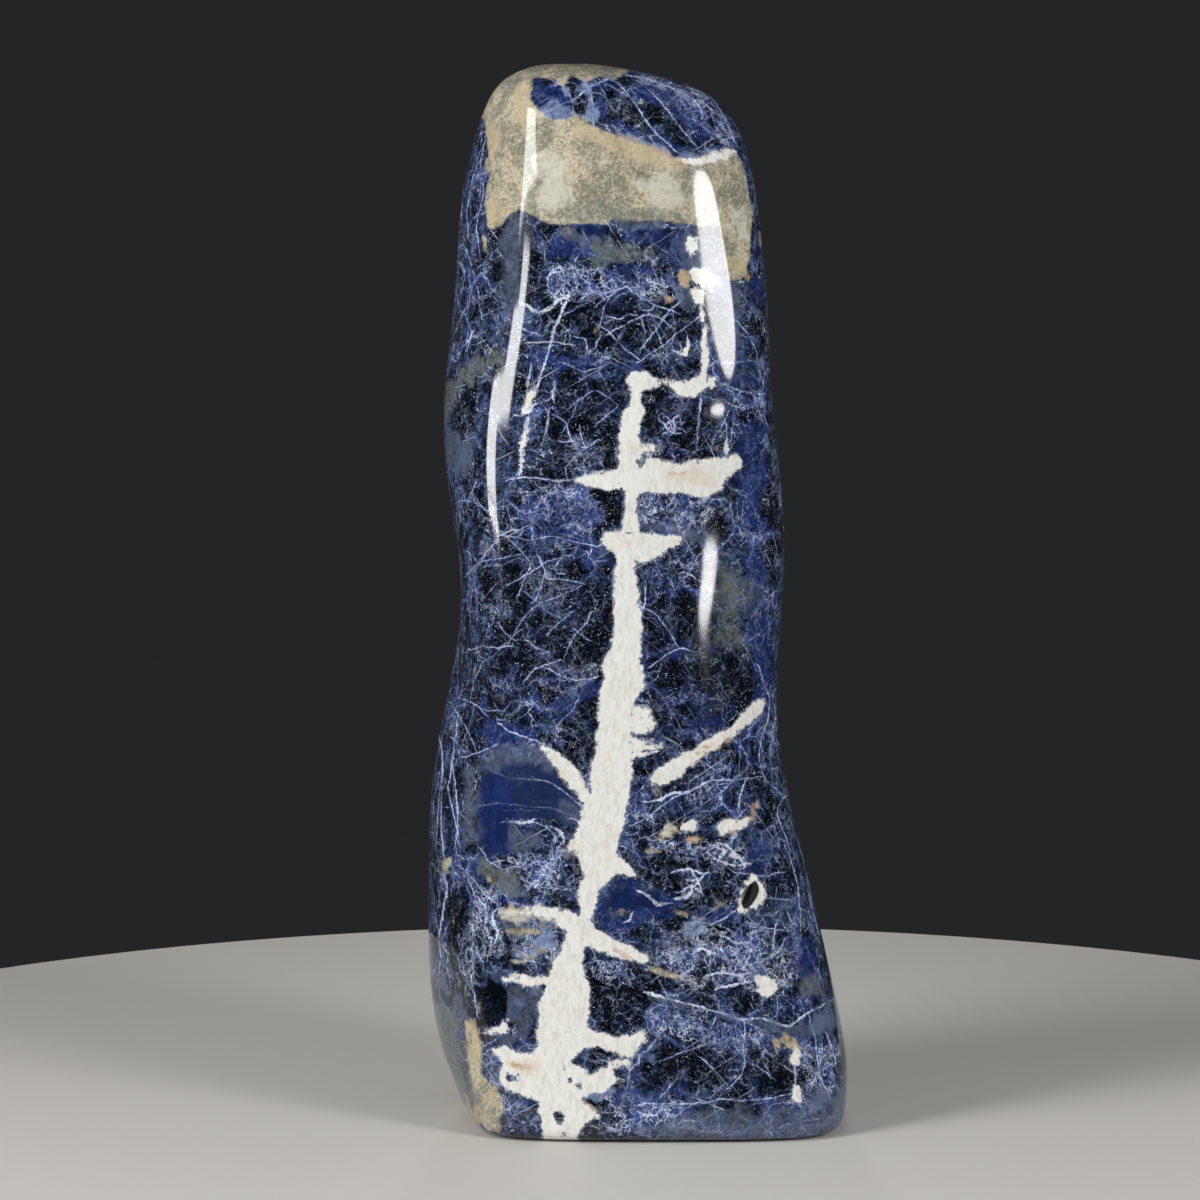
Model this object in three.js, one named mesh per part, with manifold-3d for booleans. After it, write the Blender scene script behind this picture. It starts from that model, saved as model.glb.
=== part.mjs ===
// A freeform tower of polished sodalite: one piece of stone, sawn flat underneath so that it stands,
// and ground and polished over the rest into soft faces with rounded edges. A small open vug, where a
// white vein did not close, is left in the front's lower right.
//
// Millimetres, +Z up. The foot lies on z = 0, the broad polished face looks along -Y, and the origin
// is the middle of the foot's plane under the middle of the stone.

import * as THREE from "three";
import { NURBSSurface } from "three/addons/curves/NURBSSurface.js";
import { LoftGeometry } from "three/addons/geometries/LoftGeometry.js";
import { mergeVertices } from "three/addons/utils/BufferGeometryUtils.js";
import Module from "manifold-3d";

const wasm = await Module();
wasm.setup();

// ---- Driving dimensions ----

const HEIGHT = 400; // foot to crown

// How finely the skin is faceted.
const FACETS_ROUND = 84;
const FACETS_UP = 52;

// The stone's faces and edges at a few heights, from the foot up: how far the stone reaches to the left,
// right, front and back, where the broad face's two edges run, where the left flank starts, and how far
// the broad face falls back at its left and right edges, which makes an edge rounder. The control net of
// the skin is drawn from these, so the skin itself runs a few millimetres inside them at the edges.
const STATION_COLUMNS = [
  "z", "left", "right", "front", "back", "frontLeft", "frontRight", "leftNose", "leftEase", "rightEase",
];
const STATIONS = [
  [0, -71, 81, -59, 50, -55, 73, -60, 0, 0],
  [20, -82, 84, -57, 53, -56, 67, -64, 0, 0],
  [50, -88, 78, -54, 56, -55, 56, -68, 0, 0],
  [88, -86, 69, -52, 56, -54, 44, -69, 0, 0],
  [124, -86, 60, -50, 53, -53, 36, -70, 0, 0],
  [160, -77, 54, -49, 50, -51, 27, -64, 0, 0],
  [200, -67, 59, -49, 48, -50, 18, -60, 2, 2],
  [235, -75, 59, -49, 48, -53, 20, -66, 6, 8],
  [270, -80, 53, -48, 48, -49, 37, -67, 5, 7],
  [310, -73, 52, -45, 46, -40, 34, -60, 1, 9],
  [350, -73, 48, -40, 42, -38, 12, -57, 4, 5],
  [381, -64, 43, -33, 36, -38, 2, -50, 0, 0],
].map((row) => Object.fromEntries(row.map((value, i) => [STATION_COLUMNS[i], value])));

const LEFT_SPLAY = 0.42; // the left flank's furthest line, as a share of the way from middle to back
const RIGHT_LINE = 0.3; // the same for the right flank
const SIDE_START = 0.6; // a flank's front edge, as a share of the way from the middle to the front
const REAR_EDGE = 0.62; // the rear face's half width, as a share of the stone's
const FACE_CROWN = 1.5; // how far the broad faces bulge in their middle

const FOOT_INSET = 11; // the ground edge round the sawn foot, seen from below
const FOOT_RISE = 5; // how high that edge is ground up the side

// The nearly level top of the dome: its middle, its size, how far it falls from left to right, and the
// share of it that is one small flat.
const CROWN = { x: -14, y: 2, width: 76, depth: 40, fall: 7.5, flat: 0.12 };

// The vug: where it opens, how long, wide and deep it is, how many degrees its long way leans to the
// right, how much its width narrows towards its two points and how deep the dents of its wall are, both
// as shares, and how many radians of the dents' waves run along each half axis.
const VUG = { x: 40.8, z: 91.4, length: 9, width: 3.6, depth: 6, lean: 28, taper: 0.45, dent: 0.14 };
const DENT_WAVES = { x: 4, y: 2, z: 5 };
const VUG_DETAIL = 2; // how many times the icosahedron under the vug is divided

// ---- The skin ----

const DEGREE = 3;

// The control points round the stone at one station, counterclockwise from above, from the front's
// middle, each moved out from the stone's middle by grow.
function ringAt(s, grow = 0) {
  const frontMiddle = (s.frontLeft + s.frontRight) / 2;
  const middle = (s.left + s.right) / 2;
  const rearHalf = ((s.right - s.left) / 2) * REAR_EDGE;
  const outline = [
    [frontMiddle, s.front - FACE_CROWN],
    [s.frontRight, s.front + s.rightEase],
    [s.right, s.front * SIDE_START],
    [s.right, s.back * RIGHT_LINE],
    [middle + rearHalf, s.back],
    [middle, s.back + FACE_CROWN],
    [middle - rearHalf, s.back],
    [s.left, s.back * LEFT_SPLAY],
    [s.leftNose, s.front * SIDE_START],
    [s.frontLeft, s.front + s.leftEase],
  ];
  const centre = new THREE.Vector2(middle, (s.front + s.back) / 2);
  return outline.map(([x, y]) => {
    const p = new THREE.Vector2(x, y);
    const out = p.clone().sub(centre).setLength(grow);
    return new THREE.Vector3(p.x + out.x, p.y + out.y, s.z);
  });
}

// An oval ring of control points on the crown, with as many points as ringAt gives.
function crownRing(count, share) {
  const ring = [];
  for (let i = 0; i < count; i++) {
    const angle = -Math.PI / 2 + (i / count) * 2 * Math.PI;
    const across = (Math.cos(angle) * share) / 2;
    const y = CROWN.y + (Math.sin(angle) * CROWN.depth * share) / 2;
    ring.push(new THREE.Vector3(CROWN.x + across * CROWN.width, y, HEIGHT - across * CROWN.fall));
  }
  return ring;
}

// The net of control points: the foot's ground edge, the stations and the crown.
function controlNet() {
  const [foot, ...above] = STATIONS;
  const edge = [ringAt(foot, -FOOT_INSET), ringAt(foot), ringAt({ ...foot, z: FOOT_RISE })];
  const sides = above.map((s) => ringAt(s));
  const around = edge[0].length;
  return [...edge, ...sides, crownRing(around, 1), crownRing(around, CROWN.flat)];
}

// Knots of a curve that starts and ends on its first and last control points.
function clampedKnots(count) {
  const inner = count - DEGREE;
  const knots = [];
  for (let i = -DEGREE; i <= inner + DEGREE; i++) knots.push(THREE.MathUtils.clamp(i, 0, inner));
  return knots;
}

// Knots of a curve whose first control points are repeated at its end, so that it closes on itself.
function closedKnots(count) {
  return Array.from({ length: count + DEGREE + 1 }, (_, i) => i);
}

// The skin's sections from the foot to the crown, each a ring of points.
function skinSections() {
  const net = controlNet();
  const around = net[0].length;
  const wrapped = net.map((ring) => [...ring, ...ring.slice(0, DEGREE)]);
  const surface = new NURBSSurface(
    DEGREE,
    DEGREE,
    clampedKnots(wrapped.length),
    closedKnots(around + DEGREE),
    wrapped,
  );
  const knotSpan = around + 2 * DEGREE;
  const sections = [];
  for (let i = 0; i <= FACETS_UP; i++) {
    const ring = [];
    for (let j = 0; j < FACETS_ROUND; j++) {
      const point = new THREE.Vector3();
      surface.getPoint(i / FACETS_UP, (DEGREE + (j / FACETS_ROUND) * around) / knotSpan, point);
      ring.push(point);
    }
    sections.push(ring);
  }
  return sections;
}

// The whole stone before the vug, with its middle over the origin and exactly HEIGHT high.
function skinGeometry() {
  const geometry = new LoftGeometry(skinSections(), { capStart: true, capEnd: true });
  geometry.computeBoundingBox();
  const { min, max } = geometry.boundingBox;
  geometry.translate(-(min.x + max.x) / 2, -(min.y + max.y) / 2, 0);
  geometry.scale(1, 1, HEIGHT / max.z);
  return geometry;
}

// ---- The vug ----

// A pointed slit with a few dents, standing in the skin where the vug opens.
function vugGeometry(skin) {
  const ray = new THREE.Raycaster(new THREE.Vector3(VUG.x, -HEIGHT, VUG.z), new THREE.Vector3(0, 1, 0));
  const [mouth] = ray.intersectObject(new THREE.Mesh(skin));
  const slit = new THREE.IcosahedronGeometry(1, VUG_DETAIL);
  const at = slit.attributes.position;
  for (let i = 0; i < at.count; i++) {
    const [x, y, z] = [at.getX(i), at.getY(i), at.getZ(i)];
    const wave = Math.sin(DENT_WAVES.z * z + DENT_WAVES.y * y) * Math.cos(DENT_WAVES.x * x);
    const dent = 1 + VUG.dent * wave;
    const taper = 1 - VUG.taper * z * z;
    at.setXYZ(i, (x * VUG.width * dent * taper) / 2, y * VUG.depth * dent, (z * VUG.length) / 2);
  }
  slit.rotateY(THREE.MathUtils.degToRad(VUG.lean));
  const inward = mouth.face.normal.clone().negate();
  slit.rotateZ(Math.atan2(-inward.x, inward.y));
  slit.translate(mouth.point.x, mouth.point.y, mouth.point.z);
  return slit;
}

// ---- Joining and cutting ----

function toSolid(geometry) {
  const bare = new THREE.BufferGeometry();
  bare.setAttribute("position", geometry.attributes.position);
  bare.setIndex(geometry.index);
  const merged = mergeVertices(bare);
  const vertProperties = new Float32Array(merged.attributes.position.array);
  const triVerts = new Uint32Array(merged.index.array);
  return new wasm.Manifold(new wasm.Mesh({ numProp: 3, vertProperties, triVerts }));
}

function toGeometry(solid) {
  const { vertProperties, triVerts } = solid.getMesh();
  const geometry = new THREE.BufferGeometry();
  geometry.setAttribute("position", new THREE.BufferAttribute(vertProperties, 3));
  geometry.setIndex(new THREE.BufferAttribute(triVerts, 1));
  geometry.computeVertexNormals();
  return geometry;
}

function stoneGeometry() {
  const skin = skinGeometry();
  return toGeometry(toSolid(skin).subtract(toSolid(vugGeometry(skin))));
}

// ---- The stone ----

const polishedSodalite = new THREE.MeshStandardMaterial({
  color: 0x1c2750,
  roughness: 0.12,
  metalness: 0,
});

const stone = new THREE.Mesh(stoneGeometry(), polishedSodalite);
stone.name = "sodalite_tower";

const model = new THREE.Group();
model.add(stone);

export default model;
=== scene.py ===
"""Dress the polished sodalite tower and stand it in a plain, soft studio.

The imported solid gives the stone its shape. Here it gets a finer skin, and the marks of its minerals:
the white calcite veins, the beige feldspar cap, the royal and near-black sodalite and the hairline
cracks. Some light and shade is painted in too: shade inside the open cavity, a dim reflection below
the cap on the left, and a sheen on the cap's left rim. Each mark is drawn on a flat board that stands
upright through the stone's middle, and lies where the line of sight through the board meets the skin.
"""

from __future__ import annotations

import logging
import math
from collections.abc import Iterator
from dataclasses import dataclass, field
from enum import Enum

import bmesh
import bpy
import numpy as np
from mathutils import Matrix, Vector, noise


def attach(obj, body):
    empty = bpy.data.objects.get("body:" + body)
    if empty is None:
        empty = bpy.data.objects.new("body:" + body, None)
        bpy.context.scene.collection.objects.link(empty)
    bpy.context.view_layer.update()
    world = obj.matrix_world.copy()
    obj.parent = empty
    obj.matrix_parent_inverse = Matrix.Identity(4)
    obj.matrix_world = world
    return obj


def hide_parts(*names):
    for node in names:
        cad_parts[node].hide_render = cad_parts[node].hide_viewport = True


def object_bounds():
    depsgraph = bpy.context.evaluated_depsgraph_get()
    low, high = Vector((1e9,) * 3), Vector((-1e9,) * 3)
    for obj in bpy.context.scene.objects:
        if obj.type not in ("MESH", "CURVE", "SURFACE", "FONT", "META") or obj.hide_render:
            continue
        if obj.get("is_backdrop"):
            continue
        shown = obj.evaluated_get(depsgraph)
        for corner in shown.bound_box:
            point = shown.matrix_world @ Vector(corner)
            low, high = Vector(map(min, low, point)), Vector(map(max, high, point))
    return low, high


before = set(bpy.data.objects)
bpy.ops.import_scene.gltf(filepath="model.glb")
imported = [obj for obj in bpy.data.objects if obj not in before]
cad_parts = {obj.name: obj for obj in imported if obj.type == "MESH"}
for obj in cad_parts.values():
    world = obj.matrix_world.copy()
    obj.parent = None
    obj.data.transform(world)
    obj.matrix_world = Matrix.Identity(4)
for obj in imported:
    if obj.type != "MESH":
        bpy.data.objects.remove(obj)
cad_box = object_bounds()

LOG = logging.getLogger("sodalite_tower")
MM = 0.001  # metres in a millimetre
HALF = 0.5  # a noise's middle, and a share's
FRONT_REACH_MM = 72.0  # how deep the marks on the front go into the stone
BACK_REACH_MM = 46.0


# ---- The board and the marks on it ----


class Mineral(Enum):
    """What a mark is made of."""

    CALCITE = "calcite_mm"
    FELDSPAR = "feldspar_mm"
    RUST = "rust_mm"
    # Painted shade: the inside of the open cavity is coloured dark, as shade would fall in it.
    CAVITY = "cavity_mm"
    ROYAL = "royal"
    NIGHT = "night"
    LACE = "lace"
    CLEAR = "clear"
    HAZE = "haze"
    # Real smoky grey, and in one patch under the cap a painted reflection.
    SMOKE = "smoke"
    # Real olive grey, and on the cap's left rim a painted sheen.
    OLIVE_AND_SHEEN = "olive"
    TAN = "tan"
    CREAM = "cream"
    ISLAND = "island"


# Minerals with a crisp edge are kept as a signed distance, and an island is a hole cut out of the
# calcite and the feldspar. The rest are kept as a share from 0 to 1.
EDGED = (Mineral.CALCITE, Mineral.FELDSPAR, Mineral.RUST, Mineral.CAVITY)
SHARES = tuple(mineral for mineral in Mineral if mineral not in (*EDGED, Mineral.ISLAND))
FAR_MM = 12.0  # distances past this one are all the same
THIN_MM = 2.6  # a white band thinner than this is kept as a hairline
HAIR_LAYERS = 4  # hairlines that cross are kept on separate layers
HAIR_STEPS = 9  # how many points of each piece of a hairline are tested for crossings
TINY = 1e-9  # keeps a division off zero


@dataclass(frozen=True)
class Board:
    """An upright board through the stone's middle, ruled in units, looked at from one point.

    Attributes:
        turn: which way the viewer looks, in degrees about the stone, 0 for its front.
        shift_mm: how far the board's middle lies to the right of the stone's.
        height_mm: how high the board's middle lies above the foot.
        distance_mm: how far the viewer stands from the board's middle.
        pitch: how far down the viewer looks, in degrees.
        middle: the board's middle, in units both across and down.
        units_per_mm: how many units there are to a millimetre.
        near_mm: how far the stone's near face lies in front of its axis.
    """

    turn: float
    shift_mm: float
    height_mm: float = 197.3
    distance_mm: float = 1500.0
    pitch: float = 5.0
    middle: float = 600.0
    units_per_mm: float = 2.627
    near_mm: float = 58.0

    def axes(self) -> tuple[np.ndarray, np.ndarray, np.ndarray, np.ndarray]:
        """Give the board's right, the sight line, its upward normal and the level way in."""
        turn, pitch = math.radians(self.turn), math.radians(self.pitch)
        right = np.array([math.cos(turn), math.sin(turn), 0.0])
        level = np.array([-math.sin(turn), math.cos(turn), 0.0])
        up = np.array([0.0, 0.0, 1.0])
        sight = level * math.cos(pitch) - up * math.sin(pitch)
        upward = level * math.sin(pitch) + up * math.cos(pitch)
        return right, sight, upward, level

    def target_mm(self) -> np.ndarray:
        """Give the point at the board's middle."""
        right, _, _, _ = self.axes()
        return right * self.shift_mm + np.array([0.0, 0.0, self.height_mm])

    def eye_mm(self) -> np.ndarray:
        """Give the point that the board is looked at from."""
        _, sight, _, _ = self.axes()
        return self.target_mm() - sight * self.distance_mm

    def place(self, points_mm: np.ndarray) -> tuple[np.ndarray, np.ndarray]:
        """Find where points of the stone are seen on the board.

        Args:
            points_mm: the points, one to a row.

        Returns:
            Their board coordinates, and how deep each lies behind the stone's near face.
        """
        right, sight, upward, level = self.axes()
        offset = points_mm - self.target_mm()
        scale = self.units_per_mm * self.distance_mm / (self.distance_mm + offset @ sight)
        across = self.middle + scale * (offset @ right)
        down = self.middle - scale * (offset @ upward)
        return np.stack([across, down], axis=1), points_mm @ level + self.near_mm


@dataclass(frozen=True)
class Patch:
    """A patch of one mineral, outlined by corners on the board.

    Attributes:
        soft: the width in mm over which a patch without a crisp edge fades.
        reach: how deep the patch goes into the stone, in mm.
    """

    name: str
    mineral: Mineral
    soft: float
    corners: tuple[tuple[float, float], ...]
    reach: float

    def outline(self) -> tuple[tuple[float, float], ...]:
        """Give points that the patch lies between."""
        return self.corners

    def widest(self) -> float:
        """Give how far the patch reaches past its outline in mm: not at all."""
        return 0.0

    def distance(self, at: np.ndarray) -> np.ndarray:
        """Give the distance from the patch's outline in board units, negative inside."""
        inside = np.zeros(len(at), bool)
        nearest = np.full(len(at), np.inf)
        corners = np.array(self.corners, float)
        for start, end in zip(corners, np.roll(corners, -1, axis=0)):
            nearest = np.minimum(nearest, along(at, start, end)[0])
            crosses = (start[1] > at[:, 1]) != (end[1] > at[:, 1])
            rise = end[1] - start[1] or 1.0
            meets = start[0] + (at[:, 1] - start[1]) / rise * (end[0] - start[0])
            inside ^= crosses & (at[:, 0] < meets)
        return np.where(inside, -nearest, nearest)


@dataclass(frozen=True)
class Stroke:
    """A band of one mineral along a line on the board.

    Attributes:
        soft: the width in mm over which a band without a crisp edge fades.
        stations: the line's points: across, down and the band's width there in mm.
        reach: how deep the band goes into the stone, in mm.
    """

    name: str
    mineral: Mineral
    soft: float
    stations: tuple[tuple[float, float, float], ...]
    reach: float

    def outline(self) -> tuple[tuple[float, float], ...]:
        """Give points that the band lies between, but for its width."""
        return tuple((across, down) for across, down, _ in self.stations)

    def widest(self) -> float:
        """Give the band's greatest width in mm."""
        return max(width for _, _, width in self.stations)

    def as_hair(self) -> Hair:
        """Give the same band as a hairline."""
        return Hair(tuple(width for _, _, width in self.stations), self.outline(), self.reach)

    def distance(self, at: np.ndarray) -> np.ndarray:
        """Give the distance from the band's edge in board units, negative inside."""
        nearest = np.full(len(at), np.inf)
        stations = np.array(self.stations, float)
        for start, end in zip(stations, stations[1:]):
            away, share, _ = along(at, start[:2], end[:2])
            width = (start[2] + (end[2] - start[2]) * share) * FRONT.units_per_mm
            nearest = np.minimum(nearest, away - width / 2)
        return nearest


@dataclass(frozen=True)
class Hair:
    """A hairline crack along a line on the board.

    Attributes:
        width: the crack's width in mm, the same all along or one for each point.
        reach: how deep the crack goes into the stone, in mm.
    """

    width: float | tuple[float, ...]
    points: tuple[tuple[float, float], ...]
    reach: float

    def widths(self) -> np.ndarray:
        """Give the width in mm at each point of the line."""
        return np.broadcast_to(np.array(self.width, float), len(self.points))

    def fine_points(self) -> np.ndarray:
        """Give points close together along the line."""
        points = np.array(self.points, float)
        shares = np.linspace(0.0, 1.0, HAIR_STEPS)[:, None]
        return np.concatenate([a + (b - a) * shares for a, b in zip(points, points[1:])])

    def offset(self, at: np.ndarray) -> tuple[np.ndarray, np.ndarray, np.ndarray]:
        """Measure points against the line.

        Args:
            at: the points, one to a row.

        Returns:
            The distance from the line in board units, the same with the side as its sign, and
            half the crack's width in mm where it is nearest.
        """
        nearest, signed = np.full(len(at), np.inf), np.full(len(at), np.inf)
        half = np.zeros(len(at))
        points, widths = np.array(self.points, float), self.widths()
        for row in range(len(points) - 1):
            away, share, side = along(at, points[row], points[row + 1])
            width = widths[row] + (widths[row + 1] - widths[row]) * share
            closer = away < nearest
            nearest = np.where(closer, away, nearest)
            signed = np.where(closer, away * side, signed)
            half = np.where(closer, width / 2.0, half)
        return nearest, signed, half


def along(at: np.ndarray, start: np.ndarray, end: np.ndarray) -> tuple[np.ndarray, ...]:
    """Measure points against one straight piece of a line.

    Args:
        at: the points, one to a row.
        start: the piece's start.
        end: the piece's end.

    Returns:
        The distance from the piece, the share of the way along it, and the side as 1 or -1.
    """
    way = end - start
    offset = at - start
    share = np.clip(offset @ way / max(way @ way, TINY), 0.0, 1.0)
    away = np.linalg.norm(offset - share[:, None] * way, axis=1)
    side = np.where(way[0] * offset[:, 1] - way[1] * offset[:, 0] < 0, -1.0, 1.0)
    return away, share, side


def patches(mineral: Mineral, *rows: tuple, reach: float = FRONT_REACH_MM) -> tuple[Patch, ...]:
    """Make patches of one mineral.

    Args:
        mineral: what they are made of.
        rows: for each its name, how soft its border is in mm, 0 for a crisp one, and its corners.
        reach: how deep they go into the stone, in mm.

    Returns:
        The patches.
    """
    return tuple(Patch(name, mineral, soft, tuple(corners), reach) for name, soft, *corners in rows)


def strokes(mineral: Mineral, *rows: tuple, reach: float = FRONT_REACH_MM) -> tuple[Stroke, ...]:
    """Make bands of one mineral.

    Args:
        mineral: what they are made of.
        rows: for each its name, how soft its border is in mm, 0 for a crisp one, and its
            stations: across, down and the width in mm.
        reach: how deep they go into the stone, in mm.

    Returns:
        The bands.
    """
    return tuple(Stroke(name, mineral, soft, tuple(line), reach) for name, soft, *line in rows)


def hairs(*rows: tuple, reach: float = FRONT_REACH_MM) -> tuple[Hair, ...]:
    """Make hairline cracks from rows of a width in mm and the points of a line."""
    return tuple(Hair(width, tuple(points), reach) for width, *points in rows)


AXIS_MM = 13.9  # how far the board's middle lies to the left of the stone's, seen from the front
FRONT = Board(turn=0.0, shift_mm=-AXIS_MM)
BACK = Board(turn=180.0, shift_mm=AXIS_MM)

# The marks on the front, each mineral's from the crown down.
FRONT_FELDSPAR_PATCHES = patches(
    Mineral.FELDSPAR,
    ("feldspar cap", 0.0, (455, 96), (520, 40), (640, 40), (627, 72), (613, 79), (605, 75), (596, 77),
     (587, 82), (580, 79), (571, 74), (563, 86), (555, 80), (544, 77), (534, 77), (528, 84), (529, 98),
     (538, 109), (546, 116), (556, 120), (567, 119), (575, 114), (582, 121), (590, 126), (600, 128),
     (607, 133), (619, 136), (632, 142), (644, 144), (657, 150), (667, 156), (679, 158), (686, 161),
     (697, 158), (704, 154), (717, 152), (725, 148), (735, 150), (741, 163), (746, 177), (748, 192),
     (752, 210), (751, 226), (749, 260), (745, 273), (740, 280), (728, 280), (725, 262), (722, 240),
     (720, 224), (700, 226), (690, 224), (678, 223), (659, 220), (640, 221), (613, 218), (607, 224),
     (586, 223), (563, 224), (548, 224), (540, 219), (530, 214), (520, 209), (511, 213), (505, 219),
     (500, 225), (494, 229), (488, 227), (486, 216), (485, 203), (486, 190), (490, 177), (492, 161),
     (488, 150), (484, 135), (481, 119), (470, 112)),
    ("ledge spot", 0.0, (760, 229), (763, 229), (765, 244), (762, 245)),
    ("flank spot", 0.0, (483, 235), (487, 240), (486, 253), (483, 250)),
    ("low flank spot", 0.0, (441, 861), (452, 856), (450, 864), (445, 876)),
    ("low flank band", 0.0, (465, 1021), (472, 1019), (477, 1034), (481, 1052), (481, 1074), (490, 1084),
     (503, 1098), (506, 1108), (499, 1119), (512, 1136), (486, 1130), (476, 1108), (470, 1080),
     (467, 1050)),
    ("base blush", 0.0, (493, 1050), (510, 1052), (524, 1055), (540, 1054), (536, 1062), (520, 1060),
     (500, 1058)),
    ("base wedge", 0.0, (581, 1101), (590, 1103), (600, 1113), (586, 1112)),
    ("right fork", 0.0, (666, 828), (676, 826), (678, 832), (668, 836), (660, 838)),
    ("specks under the right bar", 0.0, (655, 840), (660, 833), (667, 830), (672, 826), (677, 831),
     (674, 834), (668, 835), (662, 839)),
    ("speck under the trunk", 0.0, (643, 851), (649, 846), (656, 848), (662, 853), (654, 852), (648, 854)),
)
FRONT_LACE_PATCHES = patches(
    Mineral.LACE,
    ("in the arch head", 4.0, (500, 912), (540, 910), (560, 930), (556, 960), (520, 962), (504, 940)),
    ("under the cloud", 4.0, (600, 266), (640, 268), (684, 276), (682, 300), (650, 300), (626, 288),
     (600, 282)),
    ("by the tooth", 5.0, (800, 1046), (836, 1040), (836, 1096), (806, 1090)),
    ("beside the low vein", 5.0, (592, 960), (612, 958), (634, 964), (632, 984), (608, 988), (592, 976)),
    ("under the left arm", 7.0, (524, 488), (566, 486), (600, 500), (600, 524), (584, 534), (548, 526),
     (522, 510)),
    ("under the right arm", 2.0, (640, 498), (712, 500), (716, 512), (700, 532), (642, 524)),
    ("at the left waist", 10.0, (522, 564), (564, 562), (570, 590), (538, 606), (522, 592)),
    ("mid left", 5.0, (530, 660), (596, 664), (590, 690), (540, 690)),
    ("on the low flank", 3.0, (464, 868), (480, 880), (496, 900), (506, 920), (504, 954), (480, 966),
     (476, 1000), (464, 990), (464, 940), (470, 910)),
    ("on the low right", 10.0, (690, 926), (760, 926), (800, 936), (806, 990), (780, 988), (700, 986),
     (660, 968), (660, 940)),
    ("over the seam's foot", 14.0, (650, 1016), (700, 1018), (756, 1034), (754, 1050), (700, 1042),
     (654, 1036)),
    ("by the vug", 3.0, (676, 866), (706, 866), (704, 900), (680, 900)),
    ("under the ovals", 4.0, (640, 842), (690, 842), (746, 836), (746, 866), (700, 864), (644, 858)),
    ("under the clear zone", 4.0, (506, 856), (552, 846), (566, 876), (530, 896), (504, 886)),
    ("over the arm", 3.0, (566, 440), (600, 436), (600, 462), (570, 466)),
    ("at the foot", 9.0, (604, 1098), (680, 1098), (684, 1120), (614, 1130)),
    ("above the cells", 4.0, (548, 264), (600, 264), (640, 280), (600, 296), (552, 300)),
    ("on the right cap", 6.0, (644, 76), (700, 92), (736, 140), (716, 150), (690, 110)),
)
FRONT_CREAM_PATCHES = patches(
    Mineral.CREAM,
    ("in the arch head", 3.0, (504, 914), (530, 908), (552, 916), (536, 922), (512, 920)),
    ("specks under the right bar", 2.0, (655, 840), (660, 831), (672, 825), (679, 831), (668, 837)),
    ("pale column in the cap", 3.0, (736, 206), (748, 190), (751, 214), (749, 238), (738, 240)),
    ("bloom in the cap", 7.0, (536, 160), (552, 152), (566, 160), (570, 190), (558, 206), (540, 200)),
    ("low bloom in the cap", 6.0, (530, 200), (548, 192), (572, 194), (580, 204), (556, 212), (534, 210)),
    ("right bloom in the cap", 7.0, (640, 176), (668, 170), (684, 176), (680, 206), (660, 214),
     (648, 200)),
)
FRONT_CALCITE_PATCHES = patches(
    Mineral.CALCITE,
    ("vug rim", 0.0, (752, 874), (756, 876), (758, 880), (762, 881), (763, 885), (767, 887), (764, 892),
     (766, 896), (762, 899), (763, 904), (757, 904), (755, 909), (750, 908), (748, 913), (743, 911),
     (738, 910), (740, 904), (737, 900), (742, 896), (741, 890), (746, 888), (745, 882), (750, 880)),
    ("base bloom", 0.0, (538, 1052), (540, 1040), (580, 1030), (600, 1034), (616, 1037), (632, 1034),
     (644, 1032), (646, 1040), (636, 1050), (634, 1056), (622, 1057), (612, 1050), (604, 1058),
     (614, 1060), (628, 1060), (632, 1068), (622, 1080), (612, 1084), (604, 1094), (590, 1093),
     (584, 1097), (581, 1102), (590, 1107), (600, 1116), (590, 1120), (583, 1128), (578, 1134),
     (577, 1150), (541, 1150), (543, 1126), (538, 1112), (540, 1100), (528, 1096), (508, 1092),
     (500, 1082), (499, 1070), (504, 1062), (492, 1050), (504, 1047), (520, 1054)),
    ("right blotch", 0.0, (753, 977), (767, 977), (780, 982), (777, 989), (766, 997), (757, 994),
     (758, 986)),
    ("right tooth", 0.0, (796, 1046), (801, 1050), (799, 1064), (792, 1066), (789, 1057)),
    ("lower right tooth", 0.0, (794, 1085), (800, 1087), (802, 1102), (793, 1103), (788, 1101),
     (794, 1096)),
    ("first oval", 0.0, (681, 826), (690, 821), (698, 822), (697, 831), (688, 834), (681, 832)),
    ("second oval", 0.0, (716, 826), (727, 820), (740, 818), (751, 817), (746, 826), (733, 831),
     (720, 835)),
    ("wedge", 0.0, (480, 1030), (490, 1029), (501, 1024), (507, 1020), (507, 1034), (497, 1033),
     (489, 1036), (484, 1034)),
    ("cluster, upper", 0.0, (686, 242), (689, 236), (694, 238), (698, 235), (701, 240), (698, 244),
     (701, 249), (696, 250), (693, 256), (688, 252)),
    ("cluster, middle", 0.0, (690, 270), (696, 266), (700, 269), (706, 267), (708, 272), (714, 272),
     (713, 277), (721, 280), (722, 285), (714, 284), (712, 291), (706, 286), (701, 288), (699, 281),
     (692, 279)),
    ("cluster, lower", 0.0, (690, 290), (698, 286), (706, 294), (700, 304), (692, 300)),
)
# Painted shade: the open vug is coloured near-black inside, as shade would fall in it.
FRONT_CAVITY_PATCHES = patches(
    Mineral.CAVITY,
    ("vug", 0.0, (744, 909), (742, 903), (746, 893), (750, 885), (755, 881), (758, 884), (759, 891),
     (756, 898), (752, 904), (748, 908)),
)
FRONT_RUST_PATCHES = patches(
    Mineral.RUST,
    ("pink spot", 0.0, (677, 275), (682, 270), (687, 272), (692, 276), (690, 282), (686, 286), (680, 284)),
    ("small pink spot", 0.0, (665, 297), (672, 296), (673, 303), (667, 303)),
    ("under the ovals", 0.0, (683, 836), (694, 834), (703, 838), (697, 844), (686, 842)),
    ("right of the ovals", 0.0, (749, 818), (752, 809), (757, 802), (760, 803), (756, 812), (753, 822)),
)
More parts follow.
